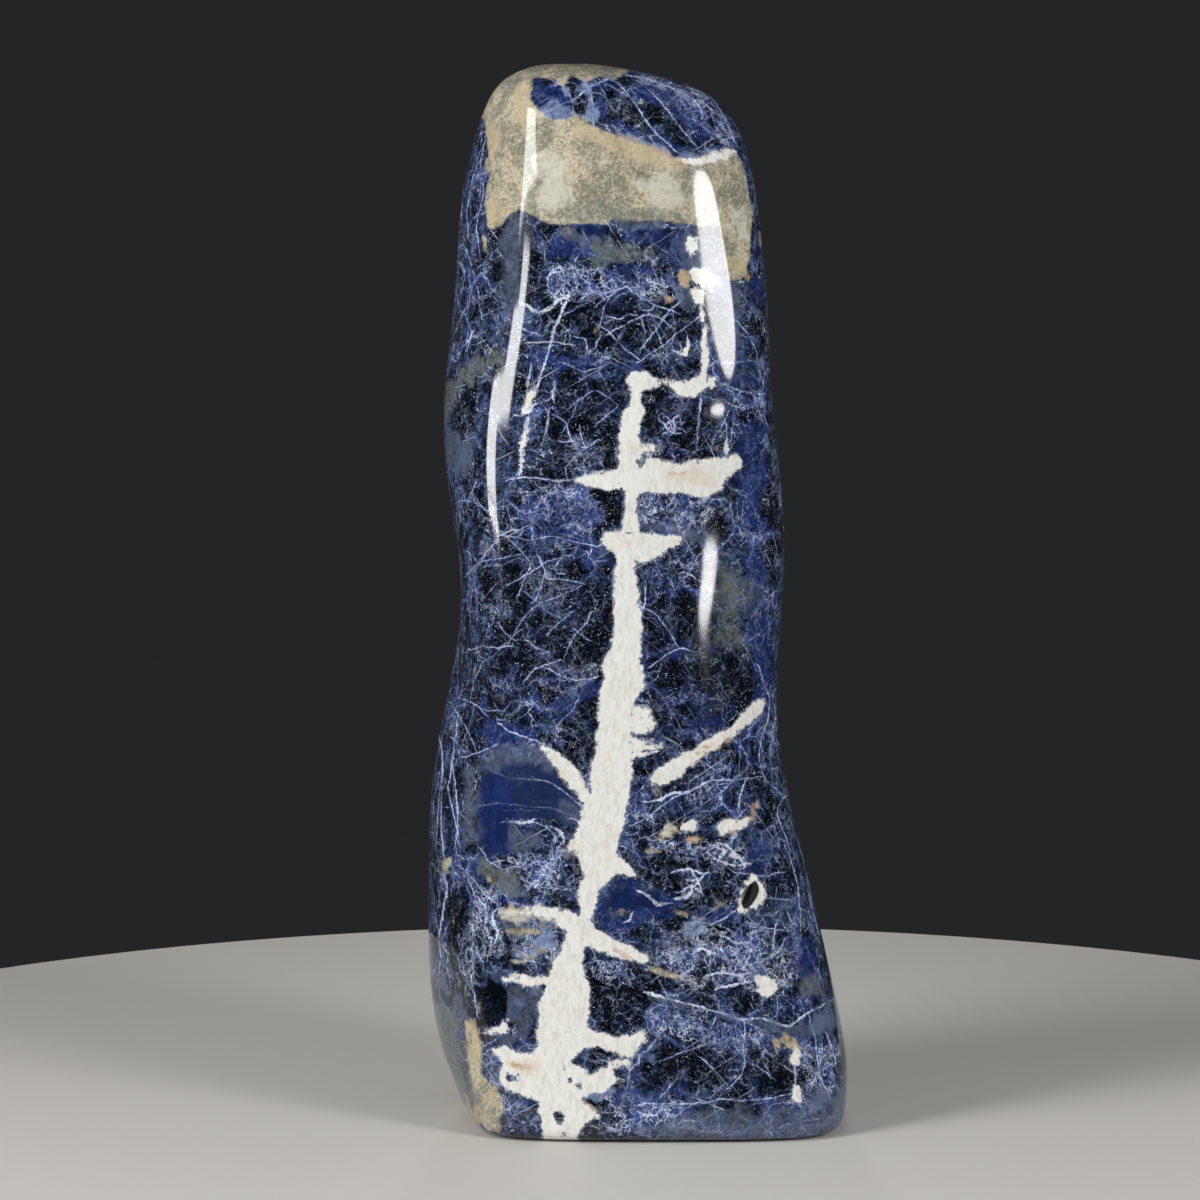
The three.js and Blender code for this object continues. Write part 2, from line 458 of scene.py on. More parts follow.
FRONT_TAN_PATCHES = patches(
    Mineral.TAN,
    ("on the tooth", 2.0, (787, 1041), (797, 1040), (799, 1050), (790, 1051)),
    ("by the tooth", 2.0, (774, 1043), (781, 1044), (781, 1051), (775, 1052)),
    ("in the cloud", 2.5, (635, 246), (646, 243), (648, 252), (640, 257), (635, 254)),
    ("at the cloud's right", 2.5, (649, 256), (658, 252), (660, 266), (654, 270)),
    ("in the low flank", 1.5, (488, 876), (493, 875), (495, 886), (491, 890)),
    ("warm band in the cap", 6.0, (574, 116), (600, 128), (640, 143), (684, 160), (680, 172), (640, 164),
     (600, 146), (572, 132)),
    ("warm lobe in the cap", 4.0, (512, 92), (522, 82), (528, 90), (532, 106), (528, 120), (516, 116)),
    ("warm edge low in the cap", 3.0, (488, 206), (500, 200), (510, 208), (500, 220), (490, 226)),
    ("warm edge left in the cap", 4.0, (486, 130), (494, 112), (498, 124), (494, 160), (488, 176)),
    ("warm rungs in the cap", 3.0, (726, 256), (746, 254), (746, 276), (730, 277)),
    ("on the flank band", 3.0, (468, 1024), (474, 1026), (480, 1056), (480, 1076), (472, 1060)),
    ("at the foot band", 4.0, (484, 1082), (494, 1088), (502, 1108), (496, 1112), (486, 1098)),
    ("flank foot tan", 5.0, (448, 1090), (462, 1098), (480, 1120), (476, 1140), (452, 1120)),
    ("at the root's end", 1.5, (636, 1032), (646, 1030), (646, 1040), (638, 1042)),
    ("lower tan arch rim", 2.0, (506, 912), (516, 907), (530, 906), (528, 914), (512, 918)),
    ("spot by the clear zone", 1.5, (549, 832), (554, 833), (554, 839), (549, 839)),
    ("stain in the first arm", 6.0, (660, 466), (690, 468), (712, 472), (712, 490), (690, 488),
     (664, 484)),
    ("stain in the right bar", 2.0, (688, 760), (712, 744), (740, 726), (742, 730), (714, 750),
     (692, 764)),
    ("stain in the arch", 2.0, (606, 948), (630, 954), (642, 960), (636, 964), (612, 956)),
    ("stain left of the low vein", 3.0, (504, 1058), (530, 1060), (542, 1068), (528, 1074), (506, 1066)),
    ("stain right of the foot", 3.0, (580, 1104), (594, 1108), (596, 1116), (584, 1118)),
    ("stain on the blotch", 2.0, (760, 979), (774, 980), (776, 986), (762, 985)),
    ("stain on the second oval", 2.0, (734, 820), (750, 818), (744, 828), (734, 830)),
)
FRONT_ISLAND_PATCHES = patches(
    Mineral.ISLAND,
    ("first island", 0.0, (571, 1062), (576, 1054), (586, 1049), (598, 1046), (606, 1050), (614, 1054),
     (606, 1059), (608, 1065), (597, 1072), (591, 1076), (586, 1070), (577, 1067)),
    ("second island", 0.0, (503, 1101), (516, 1099), (528, 1098), (539, 1101), (540, 1109), (530, 1113),
     (526, 1118), (512, 1120), (502, 1116)),
    ("third island", 0.0, (501, 1118), (520, 1116), (534, 1122), (541, 1132), (541, 1150), (498, 1150)),
    ("round island", 0.0, (553, 1115), (560, 1111), (565, 1116), (562, 1125), (556, 1123)),
    ("small island", 0.0, (503, 1076), (508, 1073), (518, 1075), (519, 1081), (508, 1084)),
    ("island, first crumb", 0.0, (560, 1068), (566, 1065), (570, 1069), (563, 1072)),
    ("island, second crumb", 0.0, (567, 1078), (572, 1077), (573, 1083), (568, 1083)),
    ("island, third crumb", 0.0, (576, 1083), (581, 1083), (581, 1088), (577, 1087)),
    ("island, foot crumb", 0.0, (561, 1131), (566, 1130), (566, 1137), (561, 1136)),
    ("speckled island", 0.0, (612, 1070), (618, 1065), (626, 1063), (632, 1068), (628, 1076), (622, 1080),
     (615, 1078)),
    ("eye in the first arm", 0.0, (637, 458), (642, 457), (643, 464), (640, 468), (636, 466)),
    ("right foot island", 0.0, (583, 1100), (596, 1098), (612, 1092), (632, 1090), (640, 1104),
     (620, 1109), (604, 1110), (594, 1106)),
)
FRONT_OLIVE_AND_SHEEN_PATCHES = patches(
    Mineral.OLIVE_AND_SHEEN,
    ("cloud", 4.0, (580, 264), (592, 254), (602, 243), (612, 228), (618, 246), (632, 243), (644, 243),
     (656, 248), (661, 258), (658, 271), (648, 268), (640, 262), (620, 266), (598, 270)),
    ("flank band", 1.0, (440, 394), (446, 384), (462, 368), (480, 360), (494, 355), (508, 351), (508, 361),
     (490, 368), (479, 378), (465, 389), (453, 402), (447, 418), (440, 420)),
    ("arch grey", 3.0, (532, 918), (546, 914), (556, 922), (544, 930), (534, 934)),
    ("grey in the low flank", 6.0, (486, 860), (504, 864), (520, 880), (512, 892), (494, 888), (484, 874)),
    ("grey right of the blotch", 5.0, (782, 980), (804, 976), (824, 980), (822, 994), (796, 994)),
    ("grey right of the leaf", 18.0, (720, 570), (736, 566), (744, 600), (740, 644), (722, 640)),
    ("grey along the cap's foot", 10.0, (560, 208), (600, 202), (680, 208), (688, 222), (600, 222),
     (560, 222)),
    # Painted sheen: the olive-grey reflection along the cap's top-left rim.
    ("cap's left rim", 6.0, (484, 130), (492, 104), (506, 82), (520, 76), (516, 92), (502, 112),
     (494, 136)),
    ("grey at the cap's top right", 4.0, (602, 68), (616, 68), (628, 74), (620, 79), (606, 76)),
    ("flank foot grey", 8.0, (430, 1004), (456, 1010), (464, 1040), (470, 1090), (480, 1114), (470, 1150),
     (430, 1150)),
)
FRONT_SMOKE_AND_SHEEN_PATCHES = patches(
    Mineral.SMOKE,
    ("grey band under the cap", 3.0, (552, 222), (572, 223), (588, 236), (596, 243), (588, 247),
     (574, 240), (556, 232)),
    ("grey right of the ellipse", 3.0, (610, 217), (640, 220), (680, 222), (690, 228), (640, 229),
     (622, 232)),
    ("grey in the arch head", 4.0, (502, 920), (520, 918), (534, 922), (530, 936), (516, 942), (504, 936)),
    ("grey band over the arch", 3.0, (496, 878), (514, 880), (530, 890), (540, 898), (524, 898),
     (504, 890)),
    ("flank smoke", 3.0, (440, 432), (452, 430), (463, 438), (471, 432), (472, 470), (464, 480),
     (440, 462)),
    ("clear rim", 9.0, (474, 770), (482, 761), (500, 752), (520, 747), (537, 746), (546, 752), (552, 762),
     (550, 768), (530, 764), (504, 768), (486, 774)),
    ("haze left of the clear zone", 11.0, (464, 772), (474, 768), (477, 800), (475, 840), (464, 846),
     (460, 810)),
    ("mauve window", 9.0, (562, 798), (570, 802), (576, 812), (574, 820), (564, 820), (558, 810)),
    ("low mauve window", 7.0, (512, 828), (530, 828), (542, 836), (541, 848), (528, 854), (512, 850)),
    ("right window", 1.5, (789, 1029), (804, 1018), (820, 1012), (845, 1010), (845, 1024), (822, 1035),
     (809, 1040), (797, 1038)),
    ("base smoke", 7.0, (640, 1130), (676, 1118), (706, 1112), (740, 1108), (790, 1106), (818, 1096),
     (850, 1090), (850, 1136), (790, 1140), (650, 1144)),
    ("dark window", 2.0, (508, 984), (524, 990), (534, 986), (540, 996), (540, 1012), (536, 1030),
     (520, 1034), (508, 1026)),
    ("blue grey under the white wedge", 3.0, (496, 1036), (510, 1034), (516, 1042), (508, 1050),
     (494, 1048)),
    # Painted reflection: the dim grey sheen below the cap on the left, beside the left softbox's
    # highlight, laid in as smoke.
    ("under the cap", 9.0, (500, 232), (514, 214), (522, 220), (523, 245), (519, 300), (511, 335),
     (503, 335), (500, 280)),
    ("haze right of the glare", 6.0, (724, 282), (742, 280), (744, 300), (738, 340), (726, 340)),
    ("pale behind the clusters", 5.0, (684, 236), (704, 234), (722, 262), (726, 292), (706, 300),
     (686, 262)),
    ("pale blot right of the cells", 2.0, (676, 288), (690, 290), (690, 302), (680, 304)),
)
FRONT_CLEAR_PATCHES = patches(
    Mineral.CLEAR,
    ("clear zone", 4.0, (478, 768), (500, 760), (545, 762), (556, 776), (566, 790), (576, 803), (579, 818),
     (572, 827), (556, 820), (545, 818), (512, 821), (508, 858), (496, 862), (486, 860), (478, 846)),
    ("dark window clearing", 2.0, (474, 988), (490, 982), (508, 984), (524, 990), (541, 984), (540, 1034),
     (508, 1032), (476, 1026)),
    ("right window clearing", 1.5, (789, 1029), (804, 1018), (820, 1012), (845, 1010), (845, 1024),
     (822, 1035), (809, 1040), (797, 1038)),
    ("ellipse clearing", 2.0, (574, 225), (590, 223), (606, 227), (612, 234), (603, 241), (594, 240),
     (582, 234)),
    ("clearing in the low royal", 8.0, (606, 888), (630, 884), (660, 896), (654, 910), (620, 916),
     (606, 910)),
)
FRONT_ROYAL_PATCHES = patches(
    Mineral.ROYAL,
    ("blue in the clear zone", 10.0, (482, 776), (498, 770), (516, 786), (514, 815), (508, 852),
     (492, 860), (482, 845)),
    ("over the clear zone", 3.0, (482, 700), (496, 716), (520, 722), (541, 738), (518, 744), (490, 748),
     (480, 730)),
    ("wedge", 1.5, (550, 716), (562, 704), (580, 698), (600, 688), (613, 683), (604, 692), (582, 706),
     (574, 716), (560, 720)),
    ("beside the cloud", 5.0, (662, 240), (694, 232), (696, 262), (678, 270), (662, 262)),
    ("under the cap", 4.0, (616, 226), (662, 226), (690, 232), (692, 258), (664, 262), (658, 246),
     (620, 240)),
    ("left of the cloud", 5.0, (552, 240), (572, 238), (590, 244), (600, 244), (586, 258), (564, 262),
     (550, 256)),
    ("under the cloud", 4.0, (600, 270), (624, 262), (648, 264), (664, 268), (664, 280), (634, 282),
     (622, 286), (606, 280)),
    ("ring", 1.0, (551, 276), (560, 276), (562, 290), (552, 292)),
    ("first lobe", 2.0, (530, 84), (540, 78), (552, 82), (564, 90), (571, 100), (572, 116), (556, 120),
     (540, 110), (530, 98)),
    ("below the trunk", 3.0, (598, 884), (616, 872), (640, 882), (668, 892), (684, 898), (678, 914),
     (650, 918), (616, 930), (598, 916)),
    ("right of the vug", 3.0, (752, 840), (764, 842), (778, 870), (766, 880), (750, 874), (742, 866)),
    ("left of the vug", 2.0, (704, 916), (734, 908), (738, 918), (716, 926)),
    ("on the low right", 4.0, (690, 1016), (716, 1024), (740, 1030), (738, 1050), (700, 1044)),
    ("on the right flank", 3.0, (744, 282), (764, 282), (764, 306), (746, 310)),
    ("on the right flank, middle", 8.0, (738, 420), (762, 416), (768, 470), (760, 540), (742, 530),
     (734, 470)),
    ("on the right flank, lower", 10.0, (742, 560), (760, 552), (774, 640), (776, 720), (758, 700),
     (746, 620)),
    ("on the right flank, foot", 8.0, (782, 932), (812, 940), (828, 1000), (806, 1000), (788, 970)),
    ("blue of the crown", 10.0, (636, 82), (668, 88), (700, 106), (716, 132), (700, 138), (676, 112),
     (640, 98)),
    ("blue by the second lobe", 5.0, (588, 84), (600, 80), (606, 96), (602, 112), (594, 104)),
    ("blue under the crown", 4.0, (604, 120), (628, 124), (660, 138), (690, 150), (676, 156), (640, 142),
     (606, 132)),
    ("ellipse", 2.0, (574, 225), (590, 223), (606, 227), (612, 234), (603, 241), (594, 240), (582, 234)),
    ("blue under the bloom", 4.0, (612, 1094), (640, 1092), (680, 1088), (700, 1096), (660, 1102),
     (620, 1104)),
    ("under the left arm", 6.0, (520, 506), (560, 498), (598, 506), (600, 528), (560, 532), (524, 520)),
    ("at the left waist's foot", 4.0, (548, 700), (572, 696), (600, 680), (612, 684), (600, 694),
     (576, 708), (552, 712)),
)
FRONT_NIGHT_PATCHES = patches(
    Mineral.NIGHT,
    ("lobe", 2.0, (564, 88), (574, 80), (588, 92), (591, 122), (580, 116), (572, 100)),
    ("under the lobes", 5.0, (600, 88), (618, 86), (636, 104), (646, 126), (620, 124), (602, 112)),
    ("right of the lobes", 5.0, (644, 98), (664, 102), (690, 130), (700, 148), (676, 146), (656, 128)),
    ("left", 6.0, (495, 232), (514, 212), (528, 214), (548, 230), (556, 262), (545, 276), (540, 300),
     (520, 302), (496, 300)),
    ("cells", 6.0, (566, 296), (640, 292), (690, 306), (698, 340), (640, 352), (570, 334)),
    ("middle", 6.0, (560, 378), (626, 376), (628, 402), (614, 424), (612, 458), (560, 470), (544, 430),
     (548, 400)),
    ("right of the stem", 4.0, (644, 396), (694, 400), (700, 440), (660, 442), (642, 424)),
    ("under the first arm", 3.0, (600, 492), (624, 494), (624, 526), (606, 526), (600, 512)),
    ("right of the first arm", 3.0, (716, 482), (738, 482), (734, 504), (716, 500)),
    ("left of the trunk", 10.0, (520, 560), (610, 566), (608, 650), (598, 690), (560, 690), (500, 700),
     (496, 640)),
    ("right of the trunk", 10.0, (648, 590), (740, 610), (744, 700), (720, 726), (660, 740), (640, 700)),
    ("beside the left bar", 3.0, (560, 722), (594, 706), (594, 768), (580, 768), (562, 752)),
    ("under the right bar", 2.0, (640, 756), (652, 756), (648, 780), (638, 780)),
    ("window", 1.5, (475, 990), (490, 984), (508, 985), (534, 992), (540, 1012), (532, 1034), (508, 1030),
     (494, 1028), (476, 1024)),
    ("beside the low vein", 6.0, (590, 990), (640, 984), (646, 1000), (640, 1032), (600, 1032),
     (590, 1008)),
    ("under the royal", 5.0, (640, 856), (690, 856), (730, 864), (734, 900), (700, 904), (650, 884)),
    ("on the low right", 5.0, (664, 1052), (704, 1050), (726, 1086), (700, 1092), (668, 1080)),
    ("on the left flank", 4.0, (448, 900), (464, 874), (474, 900), (466, 960), (450, 970)),
    ("flank cell", 3.0, (448, 404), (466, 384), (476, 396), (472, 428), (452, 428)),
    ("at the left waist", 8.0, (500, 540), (520, 550), (524, 590), (508, 610), (494, 590)),
    ("black spot", 1.0, (508, 868), (514, 865), (519, 870), (518, 876), (511, 878), (507, 874)),
    ("low black spot", 1.0, (503, 943), (508, 941), (511, 947), (505, 950)),
    ("black spot in the lace", 0.8, (699, 970), (704, 967), (709, 971), (707, 977), (701, 977)),
    ("small spot in the lace", 0.8, (693, 957), (698, 955), (701, 960), (696, 963)),
    ("third spot in the lace", 0.8, (719, 957), (724, 957), (723, 963), (719, 962)),
    ("black blot by the tooth", 2.0, (766, 1058), (776, 1056), (782, 1066), (776, 1078), (768, 1070)),
    ("right of the vug", 3.0, (758, 926), (784, 928), (790, 940), (776, 952), (760, 944)),
    ("over the low lace", 4.0, (640, 926), (680, 928), (692, 944), (664, 952), (644, 944)),
)
FRONT_HAZE_PATCHES = patches(
    Mineral.HAZE,
    ("pale in the first lobe", 5.0, (542, 110), (556, 104), (571, 107), (571, 116), (556, 119),
     (546, 115)),
    ("pale blue by the islands", 2.0, (584, 1088), (598, 1086), (612, 1080), (616, 1090), (600, 1096),
     (588, 1096)),
    ("by the arch", 12.0, (526, 938), (546, 930), (554, 946), (536, 956), (518, 958)),
    ("in the right window", 7.0, (800, 1024), (820, 1014), (834, 1012), (834, 1024), (812, 1034)),
    ("blue by the trunk's foot", 7.0, (602, 876), (614, 874), (618, 884), (604, 888)),
    ("pale blue over the low lace", 2.0, (685, 925), (698, 923), (708, 928), (704, 935), (690, 935)),
    ("pale blue left of the low lace", 1.5, (669, 960), (676, 952), (685, 954), (683, 964), (674, 967)),
)
FRONT_CALCITE_STROKES = strokes(
    Mineral.CALCITE,
    ("cap neck", 0.0, (677, 158, 0.8), (688, 161, 1.8), (700, 161, 2.2), (713, 158, 3.4), (724, 155, 3.6),
     (733, 152, 1.6)),
    ("crossbar, left", 0.0, (629, 380, 2.6), (636, 380, 7.0), (645, 381, 6.6), (653, 383, 4.6),
     (661, 381, 1.6), (672, 383, 1.8)),
    ("crossbar, right", 0.0, (674, 387, 2.6), (682, 389, 5.6), (692, 388, 6.2), (702, 383, 4.6),
     (713, 382, 3.4), (722, 384, 1.4), (727, 384, 0.4)),
    ("upper stem", 0.0, (636, 386, 4.6), (636, 402, 3.6), (636, 409, 6.2), (631, 420, 7.4),
     (629, 434, 7.4), (630, 448, 8.4), (630, 462, 9.4), (630, 476, 9.6)),
    ("stem stub", 0.0, (640, 449, 2.8), (652, 448, 2.2), (660, 448, 1.4)),
    ("first arm, left", 0.0, (578, 480, 1.6), (588, 481, 4.4), (600, 481, 6.0), (614, 480, 7.0),
     (628, 478, 8.4)),
    ("first arm", 0.0, (628, 476, 9.0), (640, 475, 12.4), (655, 476, 13.0), (670, 478, 11.6),
     (684, 479, 11.8), (696, 479, 13.6), (707, 479, 13.4)),
    ("first arm, end", 0.0, (706, 470, 8.0), (722, 468, 7.6), (733, 463, 6.2)),
    ("first arm, tail", 0.0, (508, 480, 0.3), (524, 477, 0.7), (542, 479, 0.5), (558, 481, 0.8),
     (570, 480, 0.5), (584, 476, 0.9), (600, 472, 1.4)),
    ("stem neck", 0.0, (631, 490, 5.0), (631, 508, 4.6), (631, 526, 5.4)),
    ("second arm", 0.0, (607, 539, 4.6), (614, 541, 7.6), (626, 545, 9.6), (640, 547, 11.0),
     (652, 546, 10.0), (662, 543, 6.0), (674, 542, 3.4), (687, 542, 0.6)),
    ("trunk", 0.0, (627, 556, 7.4), (624, 572, 7.4), (626, 584, 8.8), (626, 600, 9.0), (627, 614, 10.6),
     (628, 630, 10.8), (626, 648, 10.8), (623, 660, 13.0), (622, 670, 14.6), (626, 682, 13.8),
     (618, 694, 13.6), (616, 706, 12.8), (615, 720, 12.2), (613, 736, 12.6), (613, 752, 13.4),
     (612, 764, 15.2), (611, 780, 15.4), (610, 796, 14.6), (608, 812, 13.4), (606, 826, 12.4),
     (601, 838, 13.4), (597, 850, 14.6), (600, 864, 14.6), (598, 874, 8.4), (589, 886, 7.2),
     (588, 898, 7.2), (587, 908, 5.4), (586, 918, 2.6), (586, 926, 2.2)),
    ("trunk, right bulge", 0.0, (612, 864, 5.0), (624, 869, 4.4), (634, 875, 2.4)),
    ("trunk, left fringe", 0.0, (590, 812, 6.0), (584, 826, 4.4), (580, 840, 4.6), (568, 850, 2.4),
     (560, 850, 1.0)),
    ("upper knob, top", 0.0, (634, 713, 3.0), (642, 711, 2.6), (649, 712, 1.4)),
    ("upper knob", 0.0, (634, 721, 4.4), (643, 720, 3.4), (650, 722, 3.0), (655, 725, 1.2)),
    ("upper knob, foot", 0.0, (634, 729, 3.0), (643, 730, 2.2), (650, 731, 1.4)),
    ("lower knob, top", 0.0, (634, 741, 2.4), (642, 742, 2.0), (650, 741, 1.2)),
    ("lower knob", 0.0, (634, 748, 3.8), (644, 747, 3.2), (654, 746, 2.6), (663, 745, 0.6)),
    ("lower knob, foot", 0.0, (634, 755, 2.4), (644, 754, 2.0), (655, 752, 1.0)),
    ("right bar", 0.0, (652, 781, 3.0), (660, 777, 5.8), (672, 771, 6.2), (684, 762, 5.2), (697, 754, 4.4),
     (710, 745, 4.2), (722, 737, 3.6), (734, 731, 3.2), (744, 721, 4.4), (754, 712, 5.2), (760, 704, 3.8)),
    ("left bar", 0.0, (541, 746, 1.2), (551, 754, 3.8), (561, 764, 5.4), (571, 776, 6.0), (580, 788, 5.4),
     (588, 800, 4.6), (594, 810, 3.6)),
    ("right streak", 0.0, (646, 802, 0.6), (660, 800, 1.4), (670, 794, 1.0), (690, 792, 0.9),
     (710, 780, 0.6)),
    ("arch", 0.0, (504, 916, 0.8), (522, 911, 2.0), (540, 911, 3.2), (554, 914, 4.6), (566, 920, 6.8),
     (578, 928, 8.0), (590, 936, 7.6), (602, 943, 6.4), (616, 948, 6.0), (630, 954, 5.6), (641, 958, 4.0),
     (652, 960, 1.2)),
    ("low vein", 0.0, (580, 928, 8.0), (575, 944, 7.4), (571, 956, 9.6), (568, 968, 12.4),
     (566, 980, 13.6), (568, 994, 17.0), (564, 1006, 19.0), (563, 1018, 18.6), (562, 1030, 19.0),
     (560, 1042, 17.0), (560, 1056, 18.0), (556, 1070, 22.0), (556, 1084, 18.0)),
    ("left finger", 0.0, (504, 980, 1.2), (512, 978, 3.0), (522, 978, 3.2), (530, 983, 4.0),
     (540, 979, 3.0), (552, 980, 4.4)),
    ("right root", 0.0, (590, 1036, 5.0), (606, 1043, 3.8), (620, 1047, 4.2), (632, 1048, 3.4),
     (643, 1040, 2.4), (646, 1034, 0.8)),
    ("right thin vein", 0.0, (702, 303, 0.8), (703, 316, 1.6), (704, 327, 1.2), (704, 338, 1.8),
     (705, 350, 2.6), (705, 362, 2.6), (704, 371, 2.0), (702, 381, 1.6)),
    ("right thin vein, foot", 0.0, (701, 394, 0.4), (700, 406, 0.9), (699, 420, 1.0), (698, 432, 0.7),
     (697, 444, 0.3)),
    ("bit by the first arm", 0.0, (726, 440, 1.2), (726, 449, 1.9), (727, 457, 0.9)),
    ("chain, top", 0.0, (523, 303, 0.9), (530, 308, 1.9), (537, 312, 1.2), (544, 311, 1.6),
     (551, 308, 1.0), (558, 300, 1.2), (566, 297, 1.3)),
    ("chain, upper", 0.0, (568, 295, 1.2), (561, 314, 1.0), (554, 330, 1.3), (550, 346, 1.0),
     (546, 360, 1.0), (541, 374, 0.7), (538, 386, 1.0)),
    ("chain, knot", 0.0, (534, 390, 2.3), (529, 396, 2.9), (527, 404, 2.6), (524, 412, 1.9)),
    ("chain, knot arm", 0.0, (518, 416, 0.6), (527, 413, 2.2), (534, 405, 1.0)),
    ("chain, lower", 0.0, (527, 418, 1.2), (526, 432, 1.9), (523, 442, 2.3), (521, 452, 1.7),
     (522, 462, 1.9), (520, 473, 1.2)),
    ("chain, side", 0.0, (532, 363, 0.5), (529, 376, 0.9), (527, 388, 1.2)),
    ("chain, inner", 0.0, (549, 411, 0.6), (547, 426, 0.9), (543, 442, 0.5)),
    ("chain, node", 0.0, (554, 388, 0.6), (552, 393, 1.6), (553, 398, 0.5)),
    ("splash by the thin vein", 0.0, (688, 337, 0.8), (689, 347, 2.2), (684, 355, 2.2), (676, 352, 0.8)),
    ("hook below the trunk", 0.0, (627, 921, 0.5), (631, 919, 1.4), (632, 914, 0.5)),
    ("streak over the royal", 0.0, (638, 891, 0.5), (648, 896, 1.0), (658, 905, 1.8), (668, 903, 0.5)),
    ("streak by the blotch", 0.0, (718, 988, 0.6), (738, 984, 1.2), (755, 980, 0.8)),
    ("tooth root", 0.0, (795, 1064, 0.6), (795, 1076, 0.4), (796, 1087, 0.8)),
    ("seam head", 0.0, (648, 992, 1.2), (653, 995, 2.4), (660, 998, 1.2)),
    ("lace thread, first", 0.0, (708, 851, 0.5), (716, 846, 1.1), (725, 851, 1.5), (718, 862, 0.6)),
    ("lace thread, second", 0.0, (722, 843, 0.5), (732, 848, 1.2), (730, 856, 1.6), (742, 858, 1.2),
     (744, 868, 0.6)),
    ("lace thread, third", 0.0, (712, 858, 0.5), (724, 862, 1.3), (734, 866, 0.8), (746, 864, 1.2)),
    ("splash thread, first", 0.0, (675, 871, 0.6), (689, 869, 1.3), (697, 872, 0.9), (706, 874, 0.5)),
    ("splash thread, second", 0.0, (706, 873, 0.5), (694, 886, 1.4), (688, 896, 1.2), (678, 899, 1.4)),
    ("splash thread, third", 0.0, (680, 892, 0.6), (693, 885, 1.2), (701, 893, 0.5)),
    ("splash thread, fourth", 0.0, (691, 870, 0.8), (697, 879, 0.9), (702, 892, 0.5)),
    ("low lace thread, first", 0.0, (725, 936, 0.5), (736, 944, 1.0), (744, 942, 0.8), (752, 950, 1.1),
     (748, 960, 0.6)),
    ("low lace thread, second", 0.0, (694, 953, 0.8), (702, 948, 1.3), (711, 952, 0.9), (710, 962, 0.6)),
    ("low lace thread, third", 0.0, (706, 976, 0.5), (722, 972, 1.1), (740, 976, 0.8), (752, 972, 0.5)),
    ("bit left of the clear foot", 0.0, (511, 821, 0.6), (520, 823, 1.3), (532, 821, 0.9)),
    ("bit by the lower fringe", 0.0, (572, 818, 0.6), (580, 822, 1.2), (586, 832, 1.0)),
    ("bit under the lower fringe", 0.0, (550, 826, 0.5), (558, 830, 1.3), (566, 838, 0.8),
     (560, 846, 1.2)),
    ("flank net, first", 0.0, (480, 900, 0.5), (488, 912, 1.1), (484, 926, 1.3), (492, 940, 0.8),
     (488, 956, 0.6)),
    ("flank net, second", 0.0, (496, 908, 0.5), (490, 920, 1.0), (498, 930, 1.1), (494, 946, 0.6)),
    ("flank thread, first", 0.0, (446, 700, 0.3), (443, 740, 0.6), (440, 790, 0.5), (441, 830, 0.6),
     (444, 856, 0.3)),
    ("flank thread, second", 0.0, (452, 760, 0.3), (456, 790, 0.6), (458, 820, 0.7), (455, 850, 0.4)),
    ("speck at the foot, first", 0.0, (638, 1112, 0.4), (648, 1116, 1.1), (658, 1114, 0.5)),
    ("speck at the foot, second", 0.0, (676, 1124, 0.4), (686, 1120, 1.0), (698, 1122, 0.4)),
)
FRONT_HAZE_STROKES = strokes(
    Mineral.HAZE,
    ("pale rim under the crown", 2.0, (546, 114, 1.4), (557, 117, 2.2), (567, 116, 2.4), (575, 111, 1.6),
     (584, 117, 1.4), (596, 125, 1.6), (612, 131, 1.8), (632, 139, 1.8), (652, 145, 2.0), (668, 152, 2.4),
     (690, 157, 2.6), (704, 152, 2.4), (718, 148, 1.8)),
    ("pale edge of the first lobe", 1.6, (562, 85, 1.0), (570, 96, 1.4), (573, 108, 1.4)),
    ("pale edge of the second lobe", 1.6, (581, 80, 1.0), (589, 85, 1.4), (592, 98, 1.5), (594, 112, 1.6),
     (592, 124, 1.2)),
    ("pale line over the crown", 1.6, (610, 78, 0.6), (634, 79, 1.0), (660, 86, 0.9), (684, 97, 0.7),
     (700, 110, 0.5)),
    ("pale blue across the dark window", 1.6, (520, 1003, 0.8), (528, 997, 2.0), (534, 991, 1.0)),
    ("streak by the foot's window", 1.6, (786, 1108, 0.8), (800, 1112, 1.6), (816, 1106, 1.8),
     (830, 1098, 1.2)),
)
FRONT_FELDSPAR_STROKES = strokes(
    Mineral.FELDSPAR,
    ("arch tail", 0.0, (648, 967, 1.2), (660, 972, 2.2), (674, 976, 2.2), (686, 979, 1.2),
     (694, 982, 0.4)),
    ("arch head, upper", 0.0, (502, 918, 1.4), (512, 912, 2.8), (524, 911, 3.2), (536, 915, 2.4),
     (548, 918, 1.8)),
    ("arch head, lower", 0.0, (507, 930, 1.0), (518, 933, 2.6), (529, 930, 2.8), (539, 932, 1.4)),
    ("streak under the arch head", 0.0, (509, 964, 0.6), (524, 960, 1.5), (540, 952, 1.6),
     (556, 945, 0.8)),
    ("bit under the arch head", 0.0, (514, 950, 0.6), (524, 946, 1.4), (534, 944, 0.6)),
    ("tan white streak", 0.0, (674, 911, 0.8), (682, 914, 1.6), (690, 916, 0.8)),
    ("tan white streak, right", 0.0, (696, 917, 0.8), (702, 918, 1.4), (707, 918, 0.6)),
)
FRONT_SMOKE_STROKES = strokes(
    Mineral.SMOKE,
    ("white flank seam", 1.0, (440, 982, 1.6), (452, 998, 2.8), (464, 1012, 3.0), (469, 1021, 1.6)),
    ("seam", 2.4, (652, 996, 1.0), (690, 1006, 1.4), (718, 1015, 1.6), (746, 1021, 1.8), (768, 1024, 2.0),
     (789, 1029, 2.4), (804, 1020, 2.4), (820, 1012, 2.0), (833, 1003, 1.6)),
    ("blue band under the second arm", 1.0, (644, 526, 2.6), (670, 531, 2.6), (690, 537, 2.8),
     (704, 540, 1.6)),
)
